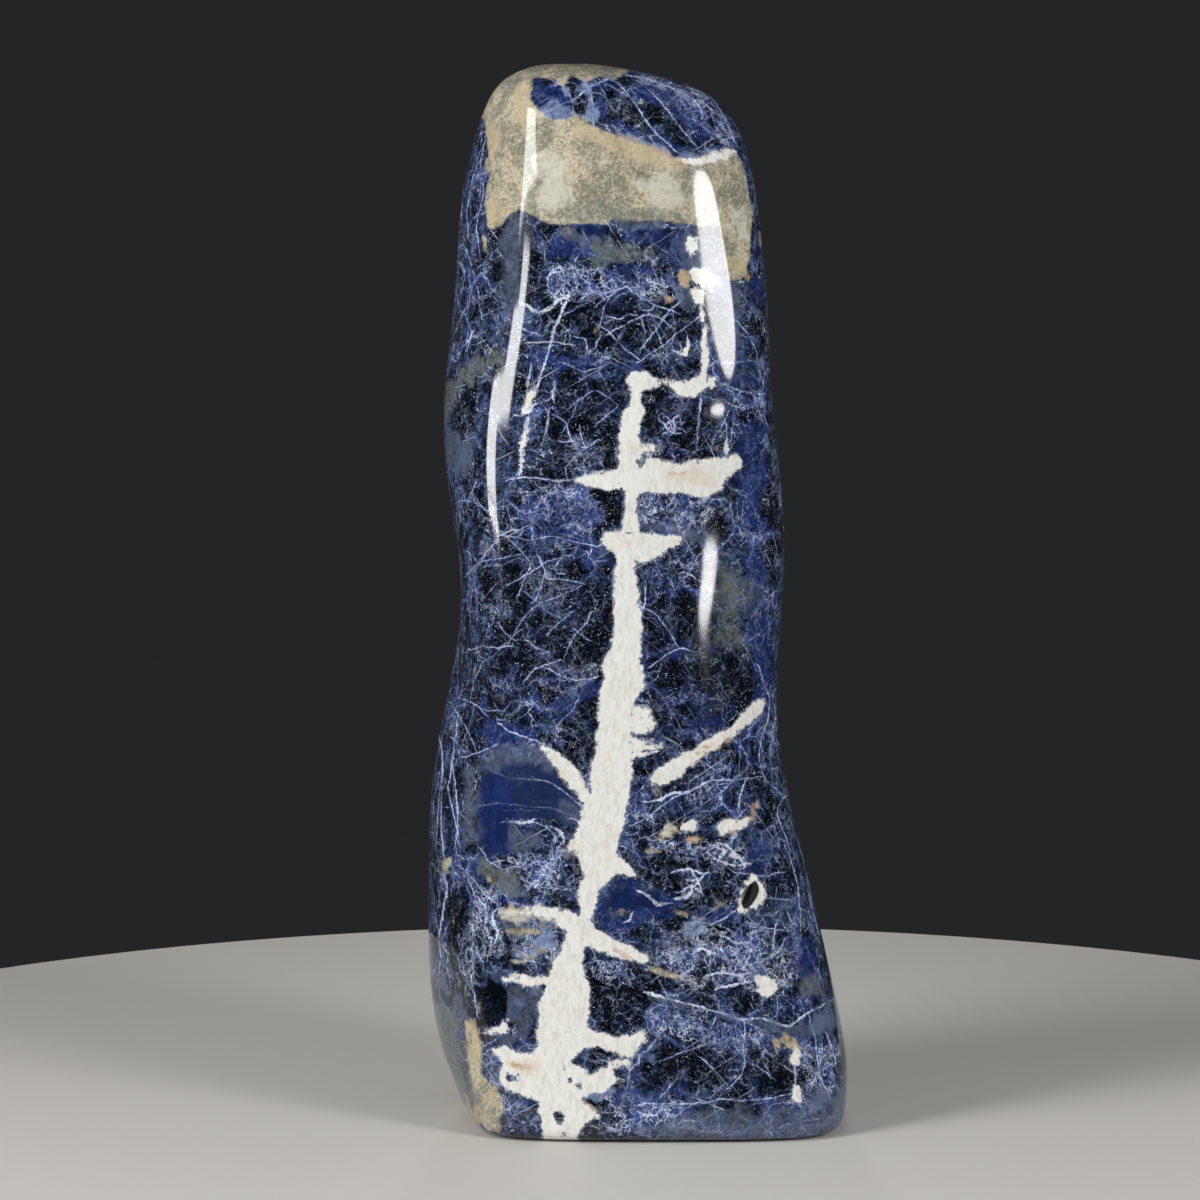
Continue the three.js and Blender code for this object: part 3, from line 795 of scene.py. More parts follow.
FRONT_ROYAL_STROKES = strokes(
    Mineral.ROYAL,
    ("band under the lace", 2.0, (528, 524, 2.0), (550, 532, 3.4), (580, 540, 3.6), (604, 545, 2.0)),
    ("band over the crossbar", 3.0, (530, 356, 4.0), (560, 360, 4.6), (600, 366, 3.4), (640, 368, 1.6)),
    ("band right of the trunk", 1.5, (652, 664, 0.8), (668, 654, 2.2), (684, 649, 1.6), (712, 650, 0.8)),
    ("band over the right bar", 2.5, (676, 716, 1.6), (692, 722, 3.6), (712, 722, 3.6), (730, 714, 2.4)),
    ("blue flank line", 1.0, (745, 600, 0.8), (748, 624, 2.2), (752, 642, 2.0), (755, 662, 1.0)),
    ("blue line across the dark window", 1.4, (508, 1016, 1.0), (518, 1006, 1.6), (528, 998, 3.0),
     (536, 989, 2.0), (545, 985, 1.2)),
    ("right of the crossbar", 1.5, (720, 382, 1.2), (740, 382, 2.6), (758, 384, 1.6)),
    ("low flank wedge", 1.0, (452, 800, 1.2), (456, 824, 3.2), (456, 840, 3.8), (452, 854, 1.6)),
)
FRONT_RUST_STROKES = strokes(
    Mineral.RUST,
    ("in the first arm", 0.0, (668, 476, 0.6), (676, 475, 1.4), (686, 472, 0.5)),
    ("in the right bar", 0.0, (694, 755, 0.8), (704, 749, 1.6), (712, 744, 0.6)),
    ("in the arch", 0.0, (612, 950, 0.6), (626, 956, 2.0), (634, 961, 0.8)),
    ("in the base", 0.0, (509, 1063, 0.8), (520, 1067, 2.6), (532, 1067, 0.8)),
)
FRONT_MARKS = (
    *FRONT_FELDSPAR_PATCHES,
    *FRONT_LACE_PATCHES,
    *FRONT_CREAM_PATCHES,
    *FRONT_CALCITE_PATCHES,
    *FRONT_CAVITY_PATCHES,
    *FRONT_RUST_PATCHES,
    *FRONT_TAN_PATCHES,
    *FRONT_ISLAND_PATCHES,
    *FRONT_OLIVE_AND_SHEEN_PATCHES,
    *FRONT_SMOKE_AND_SHEEN_PATCHES,
    *FRONT_CLEAR_PATCHES,
    *FRONT_ROYAL_PATCHES,
    *FRONT_NIGHT_PATCHES,
    *FRONT_HAZE_PATCHES,
    *FRONT_CALCITE_STROKES,
    *FRONT_HAZE_STROKES,
    *FRONT_FELDSPAR_STROKES,
    *FRONT_SMOKE_STROKES,
    *FRONT_ROYAL_STROKES,
    *FRONT_RUST_STROKES,
)
FRONT_HAIRS = hairs(
    # The crown.
    (0.37, (544, 113), (559, 105), (575, 99), (588, 88), (603, 81), (616, 77)),
    (0.31, (550, 79), (563, 86), (571, 97), (573, 107), (572, 117)),
    (0.37, (580, 79), (587, 83), (591, 94), (593, 108), (594, 128)),
    (0.37, (609, 77), (619, 84), (630, 96), (640, 111), (648, 124), (656, 133), (667, 143), (676, 152)),
    (0.25, (603, 91), (613, 108)),
    (0.31, (649, 90), (661, 102), (680, 127), (696, 146)),
    (0.5, (625, 75), (648, 79), (671, 87), (690, 97), (700, 107), (702, 116)),
    (0.37, (705, 88), (717, 106), (728, 127), (735, 143)),
    # The feldspar cap.
    (0.37, (485, 204), (490, 181), (498, 158), (507, 144), (523, 132), (546, 116)),
    (0.37, (563, 193), (578, 185), (600, 175), (632, 177), (657, 173), (682, 166)),
    (0.31, (590, 180), (600, 167), (609, 156), (628, 144), (640, 138)),
    (0.25, (632, 205), (648, 196), (664, 204), (680, 196)),
    (0.37, (708, 190), (719, 200), (732, 201), (740, 192), (743, 176)),
    (0.43, (744, 172), (748, 192), (742, 213), (739, 234), (738, 256)),
    (0.37, (725, 262), (736, 261), (746, 261)),
    # The dark cells under the cap.
    (0.37, (578, 301), (594, 291), (610, 281), (622, 276)),
    (0.37, (598, 304), (612, 294), (625, 286), (642, 298), (657, 306), (676, 312)),
    (0.25, (600, 327), (602, 316), (605, 304), (612, 294)),
    (0.31, (566, 314), (580, 306), (600, 296), (626, 286)),
    (0.43, (610, 332), (632, 321), (648, 314), (660, 318), (672, 328)),
    (0.37, (600, 326), (610, 332), (618, 342), (628, 352), (640, 360)),
    (0.25, (604, 360), (612, 352), (618, 340), (622, 330)),
    (0.37, (642, 349), (654, 332), (664, 319), (671, 309), (682, 300)),
    (0.37, (640, 362), (648, 354), (662, 347), (680, 331), (698, 318)),
    (0.37, (610, 317), (620, 320), (628, 314), (640, 315), (644, 330)),
    (0.37, (578, 337), (588, 340), (586, 356), (596, 346), (600, 336)),
    (0.25, (654, 322), (660, 340), (664, 350)),
    (0.19, (672, 310), (676, 330), (668, 352)),
    (0.25, (562, 362), (584, 372), (604, 366)),
    # The dark rock left of the stem.
    (0.37, (556, 416), (566, 422), (569, 436), (576, 446)),
    (0.25, (600, 392), (612, 400), (619, 406), (608, 414), (598, 424)),
    (0.25, (564, 412), (576, 402), (590, 392)),
    (0.19, (578, 400), (572, 416), (564, 430)),
    # A star left of the first arm.
    (0.31, (562, 442), (575, 441), (584, 449), (598, 440)),
    (0.31, (584, 449), (573, 458), (564, 470), (568, 480)),
    (0.31, (580, 430), (582, 440), (586, 452), (592, 457)),
    # Right of the crossbar.
    (0.25, (736, 320), (748, 334), (756, 350), (760, 376)),
    (0.25, (724, 384), (742, 392), (762, 394)),
    (0.25, (722, 428), (728, 412), (734, 402), (742, 390)),
    (0.19, (742, 396), (750, 410), (764, 422)),
    (0.25, (726, 424), (728, 440)),
    # Short stripes right of the stem.
    (0.43, (663, 429), (672, 421)),
    (0.43, (664, 426), (675, 417)),
    (0.43, (672, 434), (681, 424)),
    (0.43, (662, 421), (668, 430), (677, 434)),
    (0.37, (668, 418), (674, 426), (682, 430)),
    (0.43, (666, 433), (677, 422)),
    (0.37, (670, 435), (680, 427)),
    # The left waist.
    (0.31, (468, 574), (478, 562), (498, 559), (518, 555)),
    (0.37, (504, 534), (516, 546), (526, 556), (532, 564), (524, 580), (518, 596)),
    (0.37, (538, 556), (544, 568), (546, 580), (558, 578), (580, 583)),
    (0.31, (544, 576), (541, 588), (534, 602)),
    (0.37, (512, 638), (517, 628), (528, 612), (540, 603), (556, 597), (578, 588)),
    (0.5, (500, 626), (506, 633), (513, 640)),
    (0.31, (550, 631), (560, 622), (571, 613)),
    (0.5, (568, 648), (574, 635), (585, 625), (590, 615)),
    (0.25, (574, 628), (580, 634), (588, 640)),
    (0.37, (470, 650), (482, 646), (498, 648), (512, 646)),
    (0.25, (490, 659), (500, 649), (510, 640), (520, 630)),
    (0.25, (526, 640), (536, 648), (550, 652)),
    (0.37, (505, 536), (530, 540), (552, 536), (576, 542), (596, 547), (610, 542)),
    (0.5, (556, 566), (563, 554), (569, 556)),
    (0.31, (510, 584), (528, 574), (546, 562), (560, 558)),
    (0.19, (524, 590), (534, 600), (548, 612), (560, 618)),
    (0.31, (462, 500), (474, 502), (488, 511), (500, 508)),
    (0.31, (474, 572), (486, 552), (496, 542)),
    # Left of the trunk.
    (0.56, (526, 680), (533, 670), (548, 664), (560, 660)),
    (0.43, (548, 668), (560, 676), (576, 680), (596, 678)),
    # Right of the trunk.
    (0.5, (645, 586), (646, 598), (643, 610)),
    (0.31, (640, 606), (656, 614), (670, 632), (677, 646)),
    (0.5, (680, 572), (690, 574), (699, 581)),
    (0.37, (688, 575), (694, 564), (698, 556)),
    (0.43, (652, 666), (666, 655), (680, 648), (700, 652)),
    # Over the clear zone.
    (0.43, (500, 724), (508, 731), (518, 735), (536, 741)),
    (0.31, (478, 706), (488, 711), (500, 710)),
    (0.31, (466, 700), (478, 706), (486, 716)),
    (0.37, (466, 757), (480, 752), (494, 746)),
    (0.37, (558, 728), (562, 718), (570, 714), (578, 700)),
    # In the clear zone.
    (0.16, (480, 806), (500, 803), (524, 806), (550, 808), (576, 817)),
    (0.34, (536, 779), (552, 783), (562, 790), (576, 802), (592, 812)),
    (0.14, (482, 762), (492, 772), (510, 778), (534, 780)),
    (0.25, (504, 822), (520, 824), (536, 822), (548, 828), (556, 838)),
    # The left flank.
    (0.37, (458, 718), (455, 740), (451, 770), (448, 790), (453, 812), (458, 834), (460, 848)),
    (0.31, (453, 706), (460, 718), (470, 736), (477, 752)),
    (0.37, (442, 760), (436, 800), (434, 840)),
    (0.25, (470, 700), (474, 680), (484, 660)),
    (0.62, (441, 872), (448, 886), (443, 912), (439, 938), (441, 960)),
    (0.31, (460, 866), (475, 881), (484, 894), (496, 904)),
    (0.31, (470, 884), (478, 906), (482, 930), (492, 952)),
    (0.31, (464, 930), (474, 944), (482, 962)),
    (0.5, (468, 966), (472, 982), (475, 1000), (478, 1016)),
    # Under the clear zone.
    (0.37, (480, 848), (489, 862), (503, 869), (520, 866), (532, 874), (550, 876)),
    (0.31, (546, 866), (556, 874), (562, 862)),
    # Right of the trunk's foot.
    (0.43, (632, 825), (650, 816), (664, 804), (680, 794), (700, 786)),
    (0.43, (690, 792), (710, 781), (734, 780), (758, 777)),
    (0.56, (738, 808), (741, 792), (745, 781)),
    # The right flank.
    (0.37, (758, 664), (764, 684), (770, 698), (768, 720), (762, 736), (759, 756), (763, 777), (784, 797)),
    (0.25, (778, 684), (772, 694), (776, 716), (772, 740)),
    (0.25, (740, 738), (740, 756), (739, 778)),
    (0.31, (784, 797), (776, 812), (790, 850)),
    (0.31, (785, 844), (793, 866), (798, 886), (800, 909), (801, 936)),
    (0.31, (796, 836), (806, 866), (810, 894), (812, 910), (820, 936)),
    # Round the vug.
    (0.37, (754, 927), (774, 929), (788, 931)),
    (0.37, (776, 924), (774, 938), (773, 950)),
    (0.37, (786, 937), (780, 950), (770, 958), (754, 963)),
    (0.31, (733, 933), (742, 942), (749, 951)),
    (0.25, (770, 898), (782, 900), (794, 899)),
    (0.43, (738, 908), (726, 918), (712, 924), (694, 922)),
    (0.31, (740, 872), (754, 876), (768, 876), (780, 872)),
    # Under the seam, on the right.
    (0.37, (744, 1022), (745, 1035), (743, 1047), (745, 1061), (742, 1074), (730, 1087)),
    (0.43, (809, 1018), (815, 1037), (817, 1057), (820, 1077), (830, 1097)),
    (0.37, (826, 1031), (833, 1052), (838, 1072)),
    (0.25, (818, 1074), (826, 1068), (836, 1062)),
    # The foot.
    (0.37, (640, 1104), (682, 1104), (704, 1103), (720, 1099), (741, 1101), (767, 1099), (790, 1094)),
    (0.31, (782, 1126), (800, 1122), (824, 1118)),
    (0.31, (798, 1100), (812, 1106), (822, 1108), (824, 1118)),
    (0.31, (700, 1057), (715, 1070), (728, 1086)),
    (0.37, (752, 1064), (763, 1070), (772, 1077)),
    (0.25, (664, 1060), (688, 1050), (702, 1046)),
    # Along the seam.
    ((1.4, 0.8, 0.7, 0.8, 1.1, 0.6, 1.1, 0.9, 0.4), (648, 993), (672, 1000), (700, 1007), (732, 1017),
     (745, 1020), (760, 1018), (789, 1027), (806, 1014), (832, 1000)),
    # The upper left flank.
    (0.25, (462, 236), (470, 262), (478, 290), (482, 318)),
    (0.25, (476, 150), (470, 176), (466, 206), (468, 236)),
    (0.31, (484, 130), (478, 160), (484, 190), (476, 226), (480, 256)),
    (0.25, (459, 250), (464, 276), (458, 300)),
    # Left of the cells.
    (0.31, (520, 327), (530, 332), (540, 335)),
    (0.5, (466, 352), (470, 338), (474, 328)),
    (0.5, (549, 292), (547, 280), (552, 270), (560, 267)),
    (0.5, (560, 267), (566, 274), (563, 286), (556, 294), (549, 292)),
)

# The marks on the rear, across and down as seen from behind. Veins that cross a flank go on
# from the front.
BACK_MARKS = (
    *patches(
        Mineral.FELDSPAR,
        ("rear cap", 0.0, (600, 40), (640, 40), (690, 62), (712, 104), (716, 142), (700, 176), (672, 168),
         (650, 186), (628, 176), (616, 150), (604, 124), (594, 88)),
        reach=BACK_REACH_MM,
    ),
    *patches(
        Mineral.CALCITE,
        ("rear bloom", 0.0, (566, 1010), (586, 996), (604, 1006), (612, 1034), (630, 1050), (618, 1084),
         (596, 1104), (600, 1150), (560, 1150), (552, 1098), (536, 1072), (548, 1040)),
        reach=BACK_REACH_MM,
    ),
    *patches(
        Mineral.OLIVE_AND_SHEEN,
        ("rear cloud", 6.0, (540, 470), (580, 456), (610, 470), (622, 500), (600, 520), (560, 514)),
        reach=BACK_REACH_MM,
    ),
    *patches(
        Mineral.CLEAR,
        ("rear clear zone", 18.0, (600, 742), (660, 720), (724, 742), (746, 830), (700, 884), (632, 868),
         (596, 800)),
        reach=BACK_REACH_MM,
    ),
    *patches(
        Mineral.ROYAL,
        ("rear royal", 20.0, (596, 734), (670, 712), (736, 750), (752, 850), (690, 888), (624, 862)),
        ("rear high", 9.0, (480, 240), (540, 220), (580, 250), (560, 300), (500, 310)),
        ("rear low", 9.0, (420, 930), (480, 910), (520, 950), (490, 1000), (430, 990)),
        reach=BACK_REACH_MM,
    ),
    *patches(
        Mineral.NIGHT,
        ("rear high", 12.0, (600, 260), (700, 250), (730, 340), (700, 430), (620, 400), (590, 330)),
        ("rear middle", 12.0, (450, 560), (540, 540), (560, 620), (540, 720), (470, 710), (440, 640)),
        reach=BACK_REACH_MM,
    ),
    *patches(
        Mineral.LACE,
        ("rear high", 10.0, (470, 330), (560, 330), (580, 420), (520, 450), (460, 410)),
        ("rear low", 10.0, (640, 900), (730, 890), (760, 990), (700, 1040), (640, 990)),
        reach=BACK_REACH_MM,
    ),
    *strokes(
        Mineral.CALCITE,
        ("rear vein", 0.0, (600, 330, 1.6), (592, 372, 3.4), (598, 420, 4.6), (586, 470, 5.0),
         (590, 520, 7.4), (580, 576, 8.4), (584, 640, 9.8), (574, 700, 10.8), (582, 760, 9.0),
         (590, 820, 8.0), (582, 880, 6.4), (590, 940, 7.8), (588, 1000, 10.8)),
        ("rear branch, right", 0.0, (590, 560, 3.8), (624, 544, 4.6), (660, 540, 3.8), (700, 520, 1.4)),
        ("rear branch, left", 0.0, (580, 700, 3.0), (540, 728, 5.0), (504, 762, 4.4), (474, 786, 2.0)),
        ("rear arch", 0.0, (588, 940, 4.2), (540, 930, 3.8), (500, 948, 3.4), (460, 944, 1.8)),
        reach=BACK_REACH_MM,
    ),
    *strokes(
        Mineral.FELDSPAR,
        ("rear feldspar seam", 0.0, (640, 960, 2.4), (690, 940, 4.2), (740, 952, 5.0), (780, 940, 3.4)),
        reach=BACK_REACH_MM,
    ),
    *strokes(
        Mineral.SMOKE,
        ("rear seam", 1.5, (420, 1030, 3.0), (480, 1016, 4.2), (540, 1030, 2.6)),
        reach=BACK_REACH_MM,
    ),
)
BACK_HAIRS = hairs(
    (0.7, (470, 200), (510, 260), (530, 330), (590, 372)),
    (0.7, (700, 220), (660, 290), (640, 360), (600, 410)),
    (0.6, (450, 480), (500, 500), (540, 490), (586, 500)),
    (0.7, (600, 600), (650, 620), (700, 610), (760, 640)),
    (0.6, (440, 850), (500, 860), (540, 850), (582, 870)),
    (0.7, (600, 900), (660, 880), (720, 890)),
    (0.7, (650, 1060), (700, 1080), (760, 1070)),
    (0.5, (520, 380), (500, 440), (480, 520)),
    reach=BACK_REACH_MM,
)


# ---- The stone ----


@dataclass
class MarkedSkin:
    """Works out how far each point of the stone's skin lies from each mineral's marks.

    Attributes:
        points_mm: the skin's points, one to a row.
        sway_mm: how far a mark wanders from its board, at a few depths behind the near face.
        sway_gain: what the noise is multiplied by to reach that far.
        end_slope: how many mm a mark shrinks, past its reach, for each mm of depth.
        hair_fade_mm: how far past its reach a hairline has faded away.
        hair_gap_mm: the gap under which two hairlines go on separate layers.
        border_mm: how far a cloudy border wanders, at most, to either side.
        border_noise: the falloff, the step between octaves and the count of octaves of its noise.
    """

    points_mm: np.ndarray
    sway_depths_mm: tuple[float, ...] = (0.0, 42.0, 70.0, 112.0)
    sway_mm: tuple[float, ...] = (0.0, 0.0, 5.0, 11.0)
    sway_gain: float = 2.0
    sway_scale_mm: float = 38.0
    sway_seed: int = 7  # the marks wander the same way each time
    end_slope: float = 1.3
    hair_fade_mm: float = 12.0
    hair_gap_mm: float = 3.5
    border_scale_mm: float = 7.0
    border_mm: float = 3.6
    border_noise: tuple[float, float, int] = (0.9, 2.1, 3)
    fields: dict[str, np.ndarray] = field(default_factory=dict)
    border: np.ndarray | None = None

    def measure(self) -> dict[str, np.ndarray]:
        """Measure every mark on both boards.

        Returns:
            One array for each attribute that the finish reads.
        """
        noise.seed_set(self.sway_seed)
        count = len(self.points_mm)
        for mineral in (*EDGED, Mineral.ISLAND):
            self.fields[mineral.value] = np.full(count, FAR_MM)
        for mineral in SHARES:
            self.fields[mineral.value] = np.zeros(count)
        for layer in range(HAIR_LAYERS):
            self.fields[hair_name(layer)] = np.tile([FAR_MM, FAR_MM, 0.0], (count, 1))
        self.border = self.wandering_border()
        self.measure_board(FRONT, FRONT_MARKS, FRONT_HAIRS)
        self.measure_board(BACK, BACK_MARKS, BACK_HAIRS)
        islands = self.fields.pop(Mineral.ISLAND.value)
        for mineral in (Mineral.CALCITE, Mineral.FELDSPAR):
            self.fields[mineral.value] = np.maximum(self.fields[mineral.value], -islands)
        return self.fields

    def measure_board(self, board: Board, marks: tuple, lines: tuple[Hair, ...]) -> None:
        """Add one board's marks to the fields.

        Args:
            board: the board that the marks are drawn on.
            marks: its patches and strokes.
            lines: its hairlines.
        """
        at, depth = board.place(self.points_mm)
        at = at + self.sway(depth) * board.units_per_mm
        lines += tuple(mark.as_hair() for mark in marks if is_thin(mark))
        for mark in marks:
            if not is_thin(mark):
                self.add_mark(board, mark, at, depth)
        for layer, group in enumerate(self.layers(lines, board)):
            for hair in group:
                self.add_hair(board, hair, layer, at, depth)

    def wandering_border(self) -> np.ndarray:
        """Give how far a cloudy border wanders in or out at each point, in mm."""
        places = self.points_mm / self.border_scale_mm
        heights = [noise.fractal(place, *self.border_noise) for place in places]
        return np.array(heights) * self.border_mm

    def sway(self, depth: np.ndarray) -> np.ndarray:
        """Give how far the marks wander at each point, in mm across and down."""
        reach = np.interp(depth, self.sway_depths_mm, self.sway_mm)
        wander = np.zeros((len(depth), 2))
        for row in np.flatnonzero(reach > 0.0):
            turn = noise.noise_vector(Vector(self.points_mm[row]) / self.sway_scale_mm)
            wander[row] = (turn.x, turn.y)
        return wander * self.sway_gain * reach[:, None]

    def near(
        self, board: Board, corners: np.ndarray, at: np.ndarray, width_mm: float
    ) -> np.ndarray:
        """Pick the points near enough to a mark of some width to be changed by it."""
        margin = (FAR_MM + width_mm / 2.0) * board.units_per_mm
        above = (at > corners.min(axis=0) - margin).all(axis=1)
        below = (at < corners.max(axis=0) + margin).all(axis=1)
        return np.flatnonzero(above & below)

    def add_mark(self, board: Board, mark: Patch | Stroke, at: np.ndarray, depth: np.ndarray) -> None:
        """Add one patch or stroke to its mineral's field."""
        rows = self.near(board, np.array(mark.outline(), float), at, mark.widest())
        LOG.debug("%s, %s: %d points", mark.mineral.name, mark.name, len(rows))
        past = np.maximum(depth[rows] - mark.reach, 0.0) * self.end_slope
        away = mark.distance(at[rows]) / board.units_per_mm + past
        kept = self.fields[mark.mineral.value]
        if mark.mineral in SHARES:
            share = np.clip(HALF - (away + self.border[rows]) / mark.soft, 0.0, 1.0)
            kept[rows] = np.maximum(kept[rows], eased(share))
        else:
            kept[rows] = np.minimum(kept[rows], away)

    def add_hair(
        self, board: Board, hair: Hair, layer: int, at: np.ndarray, depth: np.ndarray
    ) -> None:
        """Add one hairline to its layer, where it is the nearest on that layer."""
        rows = self.near(board, np.array(hair.points, float), at, 0.0)
        away, signed, width = hair.offset(at[rows])
        past = np.maximum(depth[rows] - hair.reach, 0.0) / self.hair_fade_mm
        fade = np.clip(1.0 - past, 0.0, 1.0)
        found = np.stack([signed, away, width * fade * board.units_per_mm], axis=1)
        found = np.clip(found / board.units_per_mm, -FAR_MM, FAR_MM)
        kept = self.fields[hair_name(layer)]
        closer = (found[:, 1] < kept[rows, 1]) & (fade > 0.0)
        kept[rows[closer]] = found[closer]

    def layers(self, lines: tuple[Hair, ...], board: Board) -> list[list[Hair]]:
        """Share the hairlines out so that those on one layer keep clear of each other."""
        groups: list[list[Hair]] = [[] for _ in range(HAIR_LAYERS)]
        for hair in lines:
            points = hair.fine_points()
            gaps = []
            for group in groups:
                others = [other.offset(points)[0].min() for other in group]
                gaps.append(min(others, default=np.inf) / board.units_per_mm)
            clear = [layer for layer, gap in enumerate(gaps) if gap > self.hair_gap_mm]
            best = clear[0] if clear else int(np.argmax(gaps))
            groups[best].append(hair)
        return groups


def is_thin(mark: Patch | Stroke) -> bool:
    """Tell whether a mark is a white band too thin for the skin's points, kept as a hairline."""
    return isinstance(mark, Stroke) and mark.mineral is Mineral.CALCITE and mark.widest() < THIN_MM


def eased(share: np.ndarray) -> np.ndarray:
    """Ease a share that runs from 0 to 1, so that it starts and ends gently."""
    return share * share * (3.0 - 2.0 * share)


def hair_name(layer: int) -> str:
    """Give the name of the attribute that keeps one layer of hairlines."""
    return f"hair_{layer + 1}"


@dataclass
class Stone:
    """The tower: one piece of rock with a polished skin.

    Attributes:
        name: the piece's name.
        node: the solid that it stands for.
        finish: a material slot's name; it is not used.
        refine: how many times each facet of the solid is halved.
        merge_mm: points nearer to each other than this are one.
        flat_join: how far, in radians, two facets that make a quad may be out of flat.
        square_join: how far, in radians, that quad may be out of square.
    """

    name: str = "polished_stone"
    node: str = "sodalite_tower"
    finish: str = "polished_sodalite"
    refine: int = 2
    merge_mm: float = 0.001
    flat_join: float = math.radians(40.0)
    square_join: float = math.radians(60.0)

    def build(self, material: bpy.types.Material) -> bpy.types.Object:
        """Make the stone, mark it and stand it in its solid's place.

        Args:
            material: the stone's finish.

        Returns:
            The finished piece.
        """
        mesh = self.skin()
        points = np.empty(len(mesh.vertices) * 3)
        mesh.vertices.foreach_get("co", points)
        fields = MarkedSkin(points.reshape(-1, 3) / MM).measure()
        for name, values in fields.items():
            self.keep(mesh, name, values)
        mesh.materials.append(material)
        piece = bpy.data.objects.new(self.name, mesh)
        bpy.context.scene.collection.objects.link(piece)
        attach(piece, "root")
        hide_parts(self.node)
        self.finish
        return piece

    def skin(self) -> bpy.types.Mesh:
        """Copy the solid's facets, merge them into quads and round them."""
        shape = bmesh.new()
        shape.from_mesh(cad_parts[self.node].data)
        bmesh.ops.remove_doubles(shape, verts=shape.verts, dist=self.merge_mm * MM)
        bmesh.ops.join_triangles(
            shape,
            faces=shape.faces,
            angle_face_threshold=self.flat_join,
            angle_shape_threshold=self.square_join,
        )
        cage = bpy.data.meshes.new("stone_cage")
        shape.to_mesh(cage)
        shape.free()
        carrier = bpy.data.objects.new("stone_cage", cage)
        bpy.context.scene.collection.objects.link(carrier)
        rounding = carrier.modifiers.new("rounding", "SUBSURF")
        rounding.levels = rounding.render_levels = self.refine
        evaluated = carrier.evaluated_get(bpy.context.evaluated_depsgraph_get())
        mesh = bpy.data.meshes.new_from_object(evaluated)
        mesh.name = self.name
        bpy.data.objects.remove(carrier)
        bpy.data.meshes.remove(cage)
        for face in mesh.polygons:
            face.use_smooth = True
        return mesh

    def keep(self, mesh: bpy.types.Mesh, name: str, values: np.ndarray) -> None:
        """Keep one field on the mesh's points."""
        kind, slot = ("FLOAT", "value") if values.ndim == 1 else ("FLOAT_VECTOR", "vector")
        attribute = mesh.attributes.new(name, kind, "POINT")
        attribute.data.foreach_set(slot, np.ascontiguousarray(values, np.float32).ravel())


# ---- The finish ----

Socket = bpy.types.NodeSocket

# Settings that many nodes share.
BORDERS = {"feature": "DISTANCE_TO_EDGE"}
DOT = {"operation": "DOT_PRODUCT"}
EASED = {"interpolation_type": "SMOOTHSTEP"}
LARGER = {"operation": "MAXIMUM"}
LESS = {"operation": "SUBTRACT"}
MIXED = {"data_type": "RGBA"}
PLUS = {"operation": "ADD"}
SCALED = {"operation": "SCALE"}
TIMES = {"operation": "MULTIPLY"}
TIMES_PLUS = {"operation": "MULTIPLY_ADD"}
UNSIGNED = {"operation": "ABSOLUTE"}

HALVES = (HALF, HALF, HALF)  # the middle of a noise in three parts


class Paint(Enum):
    """The stone's colours, in sRGB."""

    NIGHT = "#03060c"
    NAVY = "#0f1830"
    SLATE = "#3c4a60"
    STEEL = "#50648e"
    FROST = "#ccd5de"
    ROYAL = "#1b2b62"
    DEEP_ROYAL = "#0f1a3e"
    WINDOW = "#1c284c"
    HALO = "#3a4f92"
    DIM_HALO = "#33425f"
    CRACK = "#d2daec"
    # smoky grey; also a painted reflection under the cap
    SMOKE = "#525b70"
    HAZE = "#7d8db0"
    # olive grey; also a painted sheen on the cap's left rim
    OLIVE_AND_SHEEN = "#636a66"
    MILK = "#dcdcd7"
    CHALK = "#c2c2bb"
    STAIN = "#cfbda6"
    SAND = "#b3aa91"
    DRAB = "#7e7c6b"
    UMBER = "#6f6857"
    TAN = "#b7a686"
    CREAM = "#c5c2b5"
    RUST = "#b0957c"
    # painted shade inside the open cavity
    CAVITY_SHADE = "#10160f"


def linear(colour: str) -> tuple[float, float, float, float]:
    """Turn an sRGB hex colour into the linear colour that the nodes take."""
    shares = [int(colour[start : start + 2], 16) / 255.0 for start in (1, 3, 5)]
    red, green, blue = (s / 12.92 if s <= 0.04045 else ((s + 0.055) / 1.055) ** 2.4 for s in shares)
    return red, green, blue, 1.0


class Node(Enum):
    """The kinds of node that the finish is made of."""

    ATTRIBUTE = "ShaderNodeAttribute"
    BUMP = "ShaderNodeBump"
    MATH = "ShaderNodeMath"
    MIX = "ShaderNodeMix"
    NOISE = "ShaderNodeTexNoise"
    PLACE = "ShaderNodeTexCoord"
    RANGE = "ShaderNodeMapRange"
    SPLIT = "ShaderNodeSeparateXYZ"
    VECTOR = "ShaderNodeVectorMath"
    VORONOI = "ShaderNodeTexVoronoi"


@dataclass
class Bench:
    """A node tree while nodes are being added to it."""

    tree: bpy.types.NodeTree

    def add(self, kind: Node, *feeds: object, **settings: object) -> Socket:
        """Add a node with its settings and links.

        Args:
            kind: the node's kind.
            feeds: what goes into its inputs in their order.
            settings: the node's own settings.

        Returns:
            The node's first output that is in use.
        """
        node = self.tree.nodes.new(kind.value)
        for name, value in settings.items():
            setattr(node, name, value)
        for slot, feed in zip([slot for slot in node.inputs if slot.enabled], feeds):
            self.feed(slot, feed)
        return next(slot for slot in node.outputs if slot.enabled)

    def feed(self, slot: Socket, feed: object) -> None:
        """Feed an input from another node's output, or with a colour or a plain value."""
        if isinstance(feed, Socket):
            self.tree.links.new(feed, slot)
        elif isinstance(feed, Paint):
            slot.default_value = linear(feed.value)
        else:
            slot.default_value = feed


@dataclass(frozen=True)
class Grain:
    """A noise.

    Attributes:
        size_mm: the size of its grains.
        octaves: how many ever finer octaves it has.
        roughness: how strong each octave is, as a share of the one before it.
    """

    size_mm: float
    octaves: float = 2.0
    roughness: float = 0.5

    def __iter__(self) -> Iterator[float]:
        """Give what a noise node takes after the place."""
        return iter((1.0 / self.size_mm, self.octaves, self.roughness))


